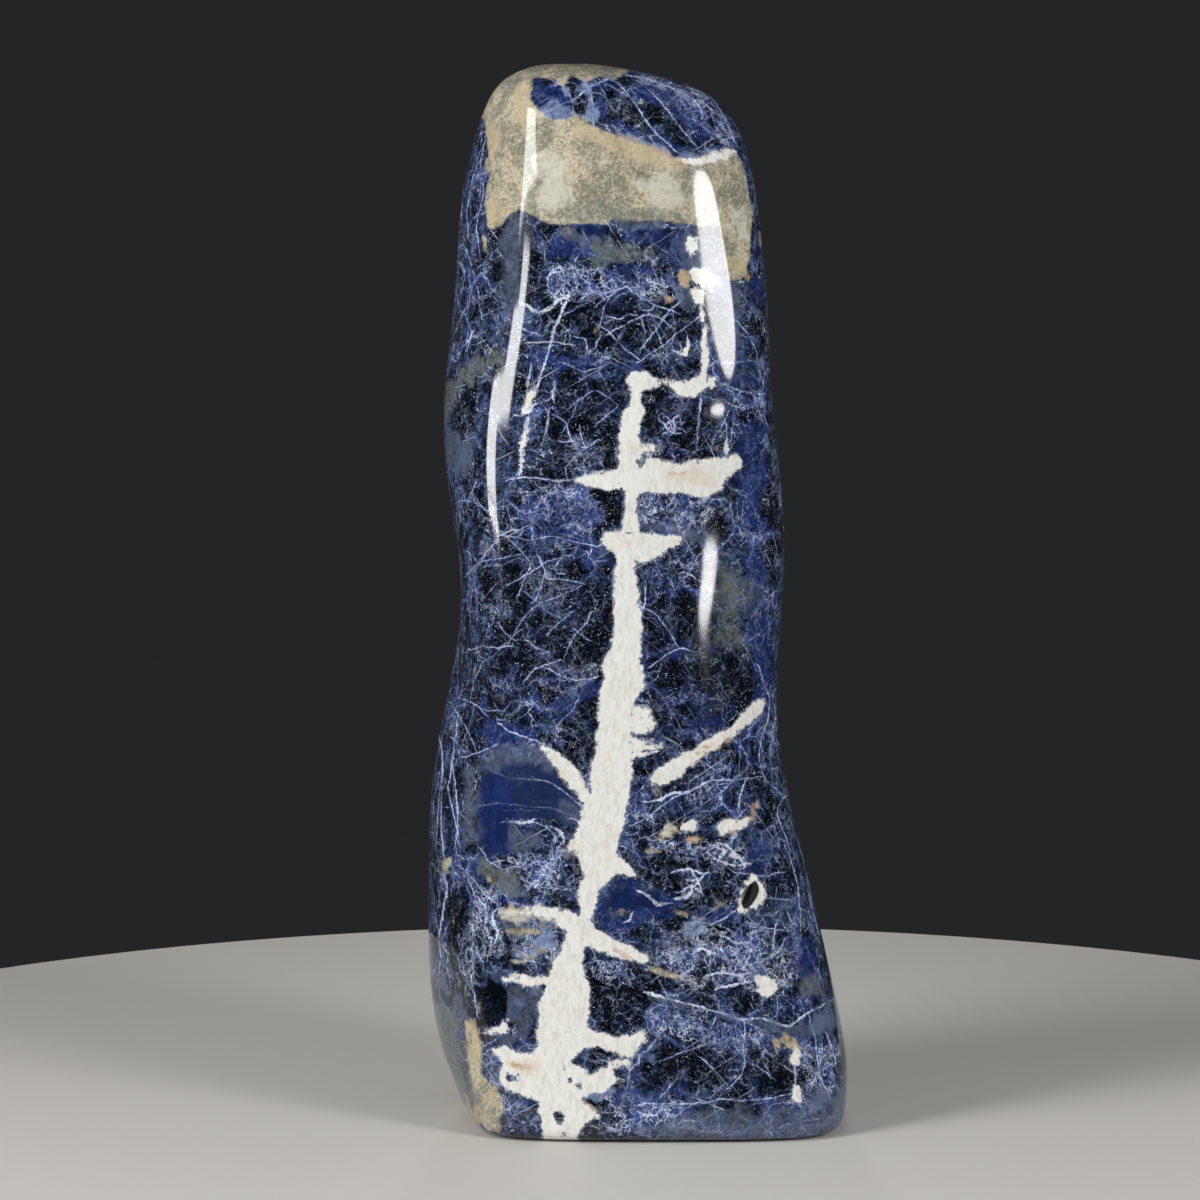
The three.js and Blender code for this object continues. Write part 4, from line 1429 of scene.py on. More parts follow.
@dataclass(frozen=True)
class Ramp:
    """How one value turns into another.

    Attributes:
        low: the value that turns into start.
        high: the value that turns into end.
    """

    low: float
    high: float
    start: float = 0.0
    end: float = 1.0

    def __iter__(self) -> Iterator[float]:
        """Give what a range node takes after the value."""
        return iter((self.low, self.high, self.start, self.end))


@dataclass(frozen=True)
class Grounds:
    """What the layers of the finish share.

    Attributes:
        bench: the node tree.
        place: the place on the stone in mm.
        bent: the same, bent by a few millimetres.
        fine: a noise with grains of about 1 mm.
        middling: a noise with grains of about 2 mm.
        broad: a noise with grains of about 7 mm.
        wide: a noise with grains of about 18 mm.
        wander: a noise that frays the cloudy borders.
        notch: a noise that notches the crisp borders.
        fray: how strongly the wander frays a border.
    """

    bench: Bench
    place: Socket
    bent: Socket
    fine: Socket
    middling: Socket
    broad: Socket
    wide: Socket
    wander: Socket
    notch: Socket
    fray: float = 1.7
    frayed_ramp: Ramp = Ramp(1.03, 1.67)

    def marked(self, mineral: Mineral) -> Socket:
        """Read one mineral's field from the skin."""
        kept = self.bench.add(Node.ATTRIBUTE, attribute_name=mineral.value)
        return kept.node.outputs["Fac"]

    def clouded(self, mineral: Mineral) -> Socket:
        """Read the share of a mineral that has no crisp edge, with its border frayed."""
        share = self.bench.add(Node.MATH, self.wander, self.fray, self.marked(mineral), **TIMES_PLUS)
        return self.bench.add(Node.RANGE, share, *self.frayed_ramp, **EASED)

    def notched(self, mineral: Mineral, depth_mm: float) -> Socket:
        """Read how far away a mineral with a crisp edge is, with the edge notched."""
        notch = self.bench.add(Node.MATH, self.notch, -HALF, **PLUS)
        return self.bench.add(Node.MATH, notch, depth_mm, self.marked(mineral), **TIMES_PLUS)


@dataclass(frozen=True)
class Rock:
    """The rock itself: near-black to navy, with royal blue, clear zones and fine pale grain."""

    tone_grain: Grain = Grain(15.0, 4.0, 0.62)
    tone_ramp: Ramp = Ramp(0.43, 0.60)
    window_share: float = 0.9  # how much of the clear zones' own blue shows
    depth_grain: Grain = Grain(7.0, 3.0, 0.65)
    depth_ramp: Ramp = Ramp(0.38, 0.62)
    royal_mottle: float = 0.5  # how much of the depth adds to the royal blue's share
    royal_ramp: Ramp = Ramp(0.4, 1.1, 0.0, 0.9)
    clear_calm: float = 0.82  # how much of the grain a clear zone hides
    royal_calm: float = 0.45
    dark_felt: float = 0.25  # how much of the felt shows where the rock is darkest
    felt_grain: Grain = Grain(1.5, 3.0, 0.8)
    felt_ramp: Ramp = Ramp(0.50, 0.68, 0.0, 0.8)
    steel_grain: Grain = Grain(5.0, 4.0, 0.8)
    steel_ramp: Ramp = Ramp(0.50, 0.66)
    steel_in_lace: float = 0.06  # how much lace adds to the steel-blue grain
    steel_in_navy: float = 0.55
    steel_least: float = 0.5
    grit_grain: Grain = Grain(0.9, 2.0, 0.7)
    grit_ramp: Ramp = Ramp(0.61, 0.72, 0.0, 0.85)
    strewn_ramp: Ramp = Ramp(0.44, 0.6, 0.08, 1.0)

    def lay(self, grounds: Grounds) -> Socket:
        """Paint the rock and give its colour."""
        bench = grounds.bench
        night, clear = grounds.clouded(Mineral.NIGHT), grounds.clouded(Mineral.CLEAR)
        royal = grounds.clouded(Mineral.ROYAL)
        tone = bench.add(Node.NOISE, grounds.bent, *self.tone_grain)
        tone = bench.add(Node.RANGE, tone, *self.tone_ramp)
        tone = bench.add(Node.MATH, tone, night, use_clamp=True, **LESS)
        colour = bench.add(Node.MIX, tone, Paint.NIGHT, Paint.NAVY, **MIXED)
        window = bench.add(Node.MATH, night, -self.window_share, self.window_share, **TIMES_PLUS)
        window = bench.add(Node.MATH, clear, window, **TIMES)
        colour = bench.add(Node.MIX, window, colour, Paint.WINDOW, **MIXED)
        colour = self.with_royal(grounds, royal, colour)
        rough = bench.add(Node.MATH, clear, -self.clear_calm, 1.0, **TIMES_PLUS)
        plain = bench.add(Node.MATH, royal, -self.royal_calm, 1.0, **TIMES_PLUS)
        rough = bench.add(Node.MATH, rough, plain, **TIMES)
        return self.with_grain(grounds, tone, rough, colour)

    def with_royal(self, grounds: Grounds, royal: Socket, colour: Socket) -> Socket:
        """Lay on the royal blue, lighter and darker in places."""
        bench = grounds.bench
        depth = bench.add(Node.NOISE, grounds.bent, *self.depth_grain)
        depth = bench.add(Node.RANGE, depth, *self.depth_ramp)
        blue = bench.add(Node.MIX, depth, Paint.DEEP_ROYAL, Paint.ROYAL, **MIXED)
        share = bench.add(Node.MATH, depth, self.royal_mottle, royal, **TIMES_PLUS)
        share = bench.add(Node.RANGE, share, *self.royal_ramp)
        return bench.add(Node.MIX, share, colour, blue, **MIXED)

    def with_grain(self, grounds: Grounds, tone: Socket, rough: Socket, colour: Socket) -> Socket:
        """Lay on the felt, the steel-blue grain and the white grit.

        Args:
            grounds: what the layers share.
            tone: how light the rock is.
            rough: how much of the grain shows.
            colour: the colour so far.

        Returns:
            The colour.
        """
        bench = grounds.bench
        lit = bench.add(Node.MATH, tone, 1.0 - self.dark_felt, self.dark_felt, **TIMES_PLUS)
        felt = bench.add(Node.NOISE, grounds.place, *self.felt_grain)
        felt = bench.add(Node.RANGE, felt, *self.felt_ramp)
        felt = bench.add(Node.MATH, felt, lit, **TIMES)
        felt = bench.add(Node.MATH, felt, rough, **TIMES)
        colour = bench.add(Node.MIX, felt, colour, Paint.SLATE, **MIXED)

        steel = bench.add(Node.NOISE, grounds.bent, *self.steel_grain)
        steel = bench.add(Node.RANGE, steel, *self.steel_ramp)
        lace = grounds.clouded(Mineral.LACE)
        steel = bench.add(Node.MATH, lace, self.steel_in_lace, steel, **TIMES_PLUS)
        steel = bench.add(Node.MATH, tone, self.steel_in_navy, steel, **TIMES_PLUS)
        steel = bench.add(Node.MATH, steel, self.steel_least, use_clamp=True, **LESS)
        steel = bench.add(Node.MATH, steel, rough, **TIMES)
        colour = bench.add(Node.MIX, steel, colour, Paint.STEEL, **MIXED)

        grit = bench.add(Node.NOISE, grounds.place, *self.grit_grain)
        grit = bench.add(Node.RANGE, grit, *self.grit_ramp)
        strewn = bench.add(Node.RANGE, grounds.broad, *self.strewn_ramp)
        grit = bench.add(Node.MATH, grit, strewn, **TIMES)
        grit = bench.add(Node.MATH, grit, rough, **TIMES)
        return bench.add(Node.MIX, grit, colour, Paint.FROST, **MIXED)


@dataclass(frozen=True)
class Web:
    """A net of healed cracks round cells of rock.

    Attributes:
        cell_mm: the size of its cells.
        line_mm: how wide its lines are on either side of their middle.
        halo_mm: how far the blue beside a line reaches.
        halo: how strong the blue beside a line is, as a share.
        cloud_mm: the size of the places where it shows.
        least: how much of the cloud's noise is needed before it shows.
        marked: how much a mark of lace adds to that noise.
        below: how far under the least it begins to show.
        above: how far over the least it shows in full.
    """

    cell_mm: float
    line_mm: float
    halo_mm: float
    halo: float
    cloud_mm: float
    least: float
    marked: float
    below: float = 0.06
    above: float = 0.08


@dataclass(frozen=True)
class Cleft:
    """A set of straight healed cracks, all facing one way.

    Attributes:
        facing: the way that they face.
        apart_mm: how far apart they are.
        line_mm: how wide they are on either side of their middle.
        cloud_mm: the size of the places where they show.
        least: how much of the cloud's noise is needed before they show.
        above: how far over the least they show in full.
        strength: how pale they are, as a share.
        bend: how much of the bent place there is in the straight one, as a share.
        cloud_shift_mm: how far the cloud is moved, so that each set has its own.
        cloud_roughness: how strong the cloud's finer octave is.
    """

    facing: tuple[float, float, float]
    apart_mm: float
    line_mm: float = 0.2
    cloud_mm: float = 15.0
    least: float = 0.55
    above: float = 0.09
    strength: float = 0.6
    bend: float = 0.15
    cloud_shift_mm: float = 61.0
    cloud_roughness: float = 0.6

    def lines(self, grounds: Grounds) -> Socket:
        """Draw the cracks where their own cloud lets them show."""
        bench = grounds.bench
        straight = bench.add(Node.VECTOR, grounds.place, self.facing, **DOT)
        curved = bench.add(Node.VECTOR, grounds.bent, self.facing, **DOT)
        way = bench.add(Node.MIX, self.bend, straight, curved)
        edge = bench.add(
            Node.VORONOI, way, 1.0 / self.apart_mm, voronoi_dimensions="1D", **BORDERS
        )
        edge = bench.add(Node.MATH, edge, self.apart_mm, **TIMES)
        shift = tuple(self.cloud_shift_mm * part for part in self.facing)
        cloud = bench.add(Node.VECTOR, grounds.place, shift, **PLUS)
        cloud = bench.add(
            Node.NOISE, cloud, *Grain(self.cloud_mm, roughness=self.cloud_roughness)
        )
        shown = Ramp(self.least, self.least + self.above, end=self.strength)
        shown = bench.add(Node.RANGE, cloud, *shown)
        line = bench.add(Node.RANGE, edge, *Ramp(0.0, self.line_mm, 1.0, 0.0))
        return bench.add(Node.MATH, line, shown, **TIMES)


@dataclass(frozen=True)
class Fleck:
    """Small flat cracks facing every way, which the polished skin cuts into short straight lines.

    Attributes:
        cell_mm: how far apart they are.
        line_mm: how wide their lines are on either side of their middle.
        reach: how far each goes from its middle, as a share of the cell.
        strength: how pale the palest are, as a share.
        taper: the share of the reach past which a crack fades.
        faintest: the length of a cell's random vector up to which its crack is left out.
        palest: the length from which its crack is at its palest.
    """

    cell_mm: float
    line_mm: float
    reach: float
    strength: float
    taper: float = 0.6
    faintest: float = 0.35
    palest: float = 0.7

    def lines(self, grounds: Grounds) -> Socket:
        """Draw in each cell a small disc that faces its own way."""
        bench = grounds.bench
        cell = bench.add(Node.VECTOR, grounds.place, 1.0 / self.cell_mm, **SCALED)
        found = bench.add(Node.VORONOI, cell, 1.0)
        way, middle = found.node.outputs["Color"], found.node.outputs["Position"]
        way = bench.add(Node.VECTOR, way, HALVES, **LESS)
        pale = bench.add(Node.VECTOR, way, operation="LENGTH")
        way = bench.add(Node.VECTOR, way, operation="NORMALIZE")
        offset = bench.add(Node.VECTOR, cell, middle, **LESS)
        edge = bench.add(Node.VECTOR, offset, way, **DOT)
        edge = bench.add(Node.MATH, edge, **UNSIGNED)
        line = bench.add(Node.RANGE, edge, *Ramp(0.0, self.line_mm / self.cell_mm, 1.0, 0.0))
        ends = bench.add(Node.RANGE, found, *Ramp(self.reach * self.taper, self.reach, 1.0, 0.0))
        line = bench.add(Node.MATH, line, ends, **TIMES)
        pale = bench.add(Node.RANGE, pale, *Ramp(self.faintest, self.palest, end=self.strength))
        return bench.add(Node.MATH, line, pale, **TIMES)


@dataclass(frozen=True)
class Cracks:
    """The healed cracks that cross the rock: nets, froth, straight clefts and short flecks."""

    webs: tuple[Web, ...] = (
        Web(17.0, 0.26, 2.4, 0.80, 24.0, 0.50, 0.08),
        Web(7.5, 0.22, 1.3, 0.60, 14.0, 0.54, 0.18),
        Web(3.4, 0.18, 0.6, 0.35, 11.0, 0.60, 0.24),
    )
    clefts: tuple[Cleft, ...] = (
        Cleft((0.84, 0.2, 0.5), 13.0),
        Cleft((0.5, 0.1, -0.86), 11.0),
        Cleft((0.2, 0.86, 0.46), 15.0),
    )
    flecks: tuple[Fleck, ...] = (
        Fleck(1.7, 0.10, 0.42, 0.40),
        Fleck(5.2, 0.09, 0.55, 0.55),
    )
    # How much of the cracks each kind of rock hides.
    hushes: tuple[tuple[Mineral, float], ...] = (
        (Mineral.CLEAR, 0.96),
        (Mineral.NIGHT, 0.6),
        (Mineral.ROYAL, 0.55),
    )
    gaps_ramp: Ramp = Ramp(0.40, 0.62, 0.05, 1.0)
    blues_ramp: Ramp = Ramp(0.40, 0.58)
    fuzz_ramp: Ramp = Ramp(0.40, 0.60, 0.25, 1.2)
    thread_grain: Grain = Grain(3.0, 2.0, 0.65)
    thread_ramp: Ramp = Ramp(0.012, 0.05, 0.95, 0.0)
    froth_ramp: Ramp = Ramp(0.46, 0.58)
    froth_gaps_ramp: Ramp = Ramp(0.42, 0.56, 0.1, 1.0)

    def lay(self, grounds: Grounds, colour: Socket) -> Socket:
        """Lay the cracks over the rock."""
        bench = grounds.bench
        quiet = self.quiet(grounds)
        lace = grounds.clouded(Mineral.LACE)
        gaps = bench.add(Node.RANGE, grounds.middling, *self.gaps_ramp)
        blues = bench.add(Node.RANGE, grounds.wide, *self.blues_ramp)
        blue = bench.add(Node.MIX, blues, Paint.DIM_HALO, Paint.HALO, **MIXED)
        fuzz = bench.add(Node.RANGE, grounds.fine, *self.fuzz_ramp)
        for web in self.webs:
            edge = bench.add(Node.VORONOI, grounds.bent, 1.0 / web.cell_mm, **BORDERS)
            edge = bench.add(Node.MATH, edge, web.cell_mm, **TIMES)
            cloud = bench.add(Node.NOISE, grounds.place, *Grain(web.cloud_mm))
            shown = bench.add(Node.MATH, lace, web.marked, cloud, **TIMES_PLUS)
            shown = bench.add(Node.RANGE, shown, *Ramp(web.least - web.below, web.least + web.above))
            shown = bench.add(Node.MATH, shown, quiet, **TIMES)
            glow = bench.add(Node.RANGE, edge, *Ramp(0.0, web.halo_mm, web.halo, 0.0), **EASED)
            glow = bench.add(Node.MATH, glow, shown, **TIMES)
            glow = bench.add(Node.MATH, glow, fuzz, **TIMES)
            colour = bench.add(Node.MIX, glow, colour, blue, **MIXED)
            line = bench.add(Node.RANGE, edge, *Ramp(0.0, web.line_mm, 1.0, 0.0))
            line = bench.add(Node.MATH, line, shown, **TIMES)
            line = bench.add(Node.MATH, line, gaps, **TIMES)
            colour = bench.add(Node.MIX, line, colour, Paint.CRACK, **MIXED)
        pale = self.froth(grounds, lace)
        for straight in (*self.flecks, *self.clefts):
            pale = bench.add(Node.MATH, pale, straight.lines(grounds), **LARGER)
        pale = bench.add(Node.MATH, pale, quiet, **TIMES)
        return bench.add(Node.MIX, pale, colour, Paint.CRACK, **MIXED)

    def quiet(self, grounds: Grounds) -> Socket:
        """Give the share of the cracks that shows: few in clear zones, fewer in dark ones."""
        shares = [
            grounds.bench.add(Node.MATH, grounds.clouded(mineral), -hush, 1.0, **TIMES_PLUS)
            for mineral, hush in self.hushes
        ]
        calm = shares[0]
        for share in shares[1:]:
            calm = grounds.bench.add(Node.MATH, calm, share, **TIMES)
        return calm

    def froth(self, grounds: Grounds, lace: Socket) -> Socket:
        """Draw the curly white threads that fill the lace in places."""
        bench = grounds.bench
        thread = bench.add(Node.NOISE, grounds.bent, *self.thread_grain)
        thread = bench.add(Node.MATH, thread, -HALF, **PLUS)
        thread = bench.add(Node.MATH, thread, **UNSIGNED)
        thread = bench.add(Node.RANGE, thread, *self.thread_ramp)
        shown = bench.add(Node.RANGE, grounds.broad, *self.froth_ramp)
        shown = bench.add(Node.MATH, shown, lace, **TIMES)
        gaps = bench.add(Node.RANGE, grounds.fine, *self.froth_gaps_ramp)
        shown = bench.add(Node.MATH, shown, gaps, **TIMES)
        return bench.add(Node.MATH, thread, shown, **TIMES)


@dataclass(frozen=True)
class Hairlines:
    """The marked hairlines, each with blue beside it.

    Attributes:
        wobble_mm: how far a line wobbles, at most, to either side.
        near_ramp: how a line ends with the distance in mm from where it is marked.
        present_ramp: how thin a line, in mm to either side, may be to be drawn.
        white_ramp: how a line turns from a pale crack to white calcite as it gets wider.
        edge_ramp: how a line's edge fades, in mm.
    """

    wobble_grain: Grain = Grain(3.0, 4.0, 0.78)
    wobble_mm: float = 1.1
    swell_ramp: Ramp = Ramp(0.36, 0.64, 0.1, 1.5)
    faint_grain: Grain = Grain(6.0)
    faint_ramp: Ramp = Ramp(0.36, 0.6, 0.25, 0.9)
    near_ramp: Ramp = Ramp(1.6, 2.6, 1.0, 0.0)
    present_ramp: Ramp = Ramp(0.02, 0.12)
    white_ramp: Ramp = Ramp(0.5, 1.0)
    halo_ramp: Ramp = Ramp(0.1, 1.2, 0.35, 0.0)
    edge_ramp: Ramp = Ramp(-0.12, 0.10, 0.95, 0.0)

    def lay(self, grounds: Grounds, colour: Socket) -> Socket:
        """Lay every layer of hairlines over the colour."""
        bench = grounds.bench
        wobble = bench.add(Node.NOISE, grounds.place, *self.wobble_grain)
        wobble = bench.add(Node.MATH, wobble, 2.0 * self.wobble_mm, -self.wobble_mm, **TIMES_PLUS)
        swell = bench.add(Node.RANGE, grounds.fine, *self.swell_ramp)
        faint = bench.add(Node.NOISE, grounds.place, *self.faint_grain)
        faint = bench.add(Node.RANGE, faint, *self.faint_ramp)
        for layer in range(HAIR_LAYERS):
            kept = bench.add(Node.ATTRIBUTE, attribute_name=hair_name(layer))
            offset = bench.add(Node.SPLIT, kept.node.outputs["Vector"])
            away, half = offset.node.outputs["Y"], offset.node.outputs["Z"]
            near = bench.add(Node.RANGE, away, *self.near_ramp)
            present = bench.add(Node.RANGE, half, *self.present_ramp)
            near = bench.add(Node.MATH, near, present, **TIMES)
            offset = bench.add(Node.MATH, offset, wobble, **PLUS)
            offset = bench.add(Node.MATH, offset, **UNSIGNED)
            white = bench.add(Node.RANGE, half, *self.white_ramp)
            shown = bench.add(Node.MATH, faint, white, **LARGER)
            near = bench.add(Node.MATH, near, shown, **TIMES)
            halo = bench.add(Node.RANGE, offset, *self.halo_ramp, **EASED)
            halo = bench.add(Node.MATH, halo, near, **TIMES)
            colour = bench.add(Node.MIX, halo, colour, Paint.HALO, **MIXED)
            edge = bench.add(Node.MATH, half, swell, **TIMES)
            edge = bench.add(Node.MATH, offset, edge, **LESS)
            line = bench.add(Node.RANGE, edge, *self.edge_ramp)
            line = bench.add(Node.MATH, line, near, **TIMES)
            pale = bench.add(Node.MIX, white, Paint.CRACK, Paint.MILK, **MIXED)
            colour = bench.add(Node.MIX, line, colour, pale, **MIXED)
        return colour


@dataclass(frozen=True)
class Tints:
    """Clouds of colour without a crisp edge."""

    tints: tuple[tuple[Mineral, Paint], ...]
    cloud_ramp: Ramp = Ramp(0.34, 0.62, 0.2, 0.9)

    def lay(self, grounds: Grounds, colour: Socket) -> Socket:
        """Lay the clouds over the colour."""
        cloud = grounds.bench.add(Node.RANGE, grounds.middling, *self.cloud_ramp)
        for mineral, paint in self.tints:
            share = grounds.bench.add(Node.MATH, grounds.clouded(mineral), cloud, **TIMES)
            colour = grounds.bench.add(Node.MIX, share, colour, paint, **MIXED)
        return colour


@dataclass(frozen=True)
class Feldspar:
    """The beige feldspar: grainy, mottled and crossed by pale cleavage lines.

    Attributes:
        block_mm: the size of the blocks between its cleavage lines.
        notch_mm: how deep its edge is notched.
    """

    tone_ramp: Ramp = Ramp(0.88, 1.10)
    grit_ramp: Ramp = Ramp(0.50, 0.36, 0.0, 0.85)
    pale_ramp: Ramp = Ramp(0.52, 0.68, 0.0, 0.7)
    block_mm: float = 17.0
    line_ramp: Ramp = Ramp(0.0, 0.02, 0.45, 0.0)
    notch_mm: float = 3.2
    edge_ramp: Ramp = Ramp(-0.5, 0.5, 1.0, 0.0)

    def lay(self, grounds: Grounds, colour: Socket) -> Socket:
        """Lay the feldspar over the colour."""
        bench = grounds.bench
        tone = bench.add(Node.MATH, grounds.broad, grounds.wide, **PLUS)
        tone = bench.add(Node.RANGE, tone, *self.tone_ramp)
        stone = bench.add(Node.MIX, tone, Paint.DRAB, Paint.SAND, **MIXED)
        grit = bench.add(Node.RANGE, grounds.fine, *self.grit_ramp)
        stone = bench.add(Node.MIX, grit, stone, Paint.UMBER, **MIXED)
        pale = bench.add(Node.RANGE, grounds.fine, *self.pale_ramp)
        stone = bench.add(Node.MIX, pale, stone, Paint.CREAM, **MIXED)
        edge = bench.add(Node.VORONOI, grounds.place, 1.0 / self.block_mm, **BORDERS)
        line = bench.add(Node.RANGE, edge, *self.line_ramp)
        line = bench.add(Node.MATH, line, grounds.broad, **TIMES)
        stone = bench.add(Node.MIX, line, stone, Paint.MILK, **MIXED)
        away = grounds.notched(Mineral.FELDSPAR, self.notch_mm)
        share = bench.add(Node.RANGE, away, *self.edge_ramp)
        return bench.add(Node.MIX, share, colour, stone, **MIXED)


@dataclass(frozen=True)
class Calcite:
    """The milky white calcite of the veins, faintly stained.

    Attributes:
        notch_mm: how deep its edge is notched.
        fringe_ramp: how the pale fringe fades with the distance from the edge in mm.
        stretch: how the fibres are drawn out upwards.
    """

    notch_mm: float = 7.0
    fringe_ramp: Ramp = Ramp(0.0, 0.9, 0.5, 0.0)
    edge_ramp: Ramp = Ramp(-0.2, 0.1, 1.0, 0.0)
    stretch: tuple[float, float, float] = (1.0, 1.0, 0.45)
    fibre_grain: Grain = Grain(1.7, 3.0, 0.75)
    chalk_ramp: Ramp = Ramp(0.32, 0.56, 0.85, 0.0)
    blush_ramp: Ramp = Ramp(0.57, 0.70, 0.0, 0.5)

    def lay(self, grounds: Grounds, colour: Socket) -> tuple[Socket, Socket]:
        """Lay the calcite over the colour.

        Args:
            grounds: what the layers share.
            colour: the colour so far.

        Returns:
            The colour, and the share of calcite.
        """
        bench = grounds.bench
        away = grounds.notched(Mineral.CALCITE, self.notch_mm)
        fringe = bench.add(Node.RANGE, away, *self.fringe_ramp)
        fringe = bench.add(Node.MATH, fringe, grounds.fine, **TIMES)
        colour = bench.add(Node.MIX, fringe, colour, Paint.CRACK, **MIXED)
        milky = bench.add(Node.RANGE, away, *self.edge_ramp)
        fibre = bench.add(Node.VECTOR, grounds.place, self.stretch, **TIMES)
        fibre = bench.add(Node.NOISE, fibre, *self.fibre_grain)
        tone = bench.add(Node.RANGE, fibre, *self.chalk_ramp)
        stone = bench.add(Node.MIX, tone, Paint.MILK, Paint.CHALK, **MIXED)
        blush = bench.add(Node.RANGE, grounds.wander, *self.blush_ramp)
        marked = bench.add(Node.MATH, grounds.clouded(Mineral.TAN), grounds.middling, **TIMES)
        blush = bench.add(Node.MATH, blush, marked, **LARGER)
        stone = bench.add(Node.MIX, blush, stone, Paint.STAIN, **MIXED)
        return bench.add(Node.MIX, milky, colour, stone, **MIXED), milky


@dataclass(frozen=True)
class RustAndCavity:
    """The rust that stains the veins, and the shade painted into the open cavity."""

    notch_mm: float = 5.6  # how deep the rust's edge is notched
    edge_ramp: Ramp = Ramp(-0.5, 0.6, 0.9, 0.0)
    pale_ramp: Ramp = Ramp(0.45, 0.7, 0.0, 0.6)
    cavity_ramp: Ramp = Ramp(-0.1, 0.5, 1.0, 0.0)

    def lay(self, grounds: Grounds, colour: Socket) -> tuple[Socket, Socket]:
        """Lay the rust over the colour, and paint shade into the cavity.

        Args:
            grounds: what the layers share.
            colour: the colour so far.

        Returns:
            The colour, and the share of the cavity.
        """
        bench = grounds.bench
        share = bench.add(Node.RANGE, grounds.notched(Mineral.RUST, self.notch_mm), *self.edge_ramp)
        pale = bench.add(Node.RANGE, grounds.fine, *self.pale_ramp)
        rusty = bench.add(Node.MIX, pale, Paint.RUST, Paint.STAIN, **MIXED)
        colour = bench.add(Node.MIX, share, colour, rusty, **MIXED)
        # Painted shade: the cavity is coloured near-black, as if shade fell in it.
        share = bench.add(Node.RANGE, grounds.marked(Mineral.CAVITY), *self.cavity_ramp)
        return bench.add(Node.MIX, share, colour, Paint.CAVITY_SHADE, **MIXED), share


@dataclass(frozen=True)
class PolishedSodalite:
    """Sodalite with calcite and feldspar, ground and polished until it shines like glass.

    The eye sees near-black and royal-blue rock under a wet gloss, crossed by pale healed cracks, with
    milky white calcite that takes a slightly duller polish.
    """

    rock: Rock = Rock()
    cracks: Cracks = Cracks()
    hairlines: Hairlines = Hairlines()
    # The smoke tint also lays a painted reflection in one patch under the cap.
    greys: Tints = Tints(((Mineral.HAZE, Paint.HAZE), (Mineral.SMOKE, Paint.SMOKE)))
    feldspar: Feldspar = Feldspar()
    # The olive tint also lays a painted sheen on the cap's left rim.
    stains: Tints = Tints(
        (
            (Mineral.OLIVE_AND_SHEEN, Paint.OLIVE_AND_SHEEN),
            (Mineral.TAN, Paint.TAN),
            (Mineral.CREAM, Paint.CREAM),
        )
    )
    calcite: Calcite = Calcite()
    rust_and_cavity: RustAndCavity = RustAndCavity()
    drift_grain: Grain = Grain(8.0, 4.0, 0.68)
    drift_mm: float = 9.0  # how far a place is bent at most, and to both sides together
    fine: Grain = Grain(1.2, 3.0, 0.75)
    middling: Grain = Grain(2.3, 4.0, 0.78)
    broad: Grain = Grain(7.0, 4.0, 0.68)
    wide: Grain = Grain(18.0, 3.0, 0.6)
    wander: Grain = Grain(9.0, 5.0, 0.66)
    notch: Grain = Grain(3.6, 5.0, 0.8)
    gloss: float = 0.07
    vein_gloss: float = 0.15
    hollow_gloss: float = 0.7
    pit_mm: float = 0.014  # how deep the polish leaves the smallest pits
    pit_strength: float = 0.5
    pit_ramp: Ramp = Ramp(0.25, 0.33)
    index: float = 1.483  # sodalite's refractive index

    def build(self) -> bpy.types.Material:
        """Build the finish."""
        material = bpy.data.materials.new("polished_sodalite")
        material.use_nodes = True
        bench = Bench(material.node_tree)
        shader = material.node_tree.nodes["Principled BSDF"]
        shader.inputs["IOR"].default_value = self.index
        grounds = self.grounds(bench)
        colour = self.rock.lay(grounds)
        for layer in (self.cracks, self.hairlines, self.greys, self.feldspar, self.stains):
            colour = layer.lay(grounds, colour)
        colour, milky = self.calcite.lay(grounds, colour)
        colour, hollow = self.rust_and_cavity.lay(grounds, colour)
        bench.feed(shader.inputs["Base Color"], colour)
        gloss = bench.add(Node.RANGE, milky, *Ramp(0.0, 1.0, self.gloss, self.vein_gloss))
        gloss = bench.add(Node.MATH, hollow, self.hollow_gloss, gloss, **TIMES_PLUS)
        bench.feed(shader.inputs["Roughness"], gloss)
        pitted = bench.add(Node.BUMP, self.pit_strength, self.pit_mm * MM)
        pits = bench.add(Node.RANGE, grounds.fine, *self.pit_ramp)
        bench.feed(pitted.node.inputs["Height"], pits)
        bench.feed(shader.inputs["Normal"], pitted)
        return material

    def grounds(self, bench: Bench) -> Grounds:
        """Read the place on the stone, bend it, and grow the noises that the layers share."""
        place = bench.add(Node.PLACE).node.outputs["Object"]
        place = bench.add(Node.VECTOR, place, 1.0 / MM, **SCALED)
        drift = bench.add(Node.NOISE, place, *self.drift_grain).node.outputs["Color"]
        drift = bench.add(Node.VECTOR, drift, HALVES, **LESS)
        drift = bench.add(Node.VECTOR, drift, self.drift_mm, **SCALED)
        return Grounds(
            bench=bench,
            place=place,
            bent=bench.add(Node.VECTOR, place, drift, **PLUS),
            fine=bench.add(Node.NOISE, place, *self.fine),
            middling=bench.add(Node.NOISE, place, *self.middling),
            broad=bench.add(Node.NOISE, place, *self.broad),
            wide=bench.add(Node.NOISE, place, *self.wide),
            wander=bench.add(Node.NOISE, place, *self.wander),
            notch=bench.add(Node.NOISE, place, *self.notch),
        )


# ---- The studio ----


@dataclass(frozen=True)
class PaintedBoard:
    """A board painted matt and pale: it gives the stone's foot a soft, light reflection."""

    paint: str = "#c8c5bf"
    roughness: float = 0.6

    def build(self) -> bpy.types.Material:
        """Build the finish."""
        material = bpy.data.materials.new("painted_board")
        material.use_nodes = True
        shader = material.node_tree.nodes["Principled BSDF"]
        shader.inputs["Base Color"].default_value = linear(self.paint)
        shader.inputs["Roughness"].default_value = self.roughness
        return material


class Outline(Enum):
    """The outlines that a softbox's cloth can have."""

    RECTANGLE = "RECTANGLE"
    ELLIPSE = "ELLIPSE"


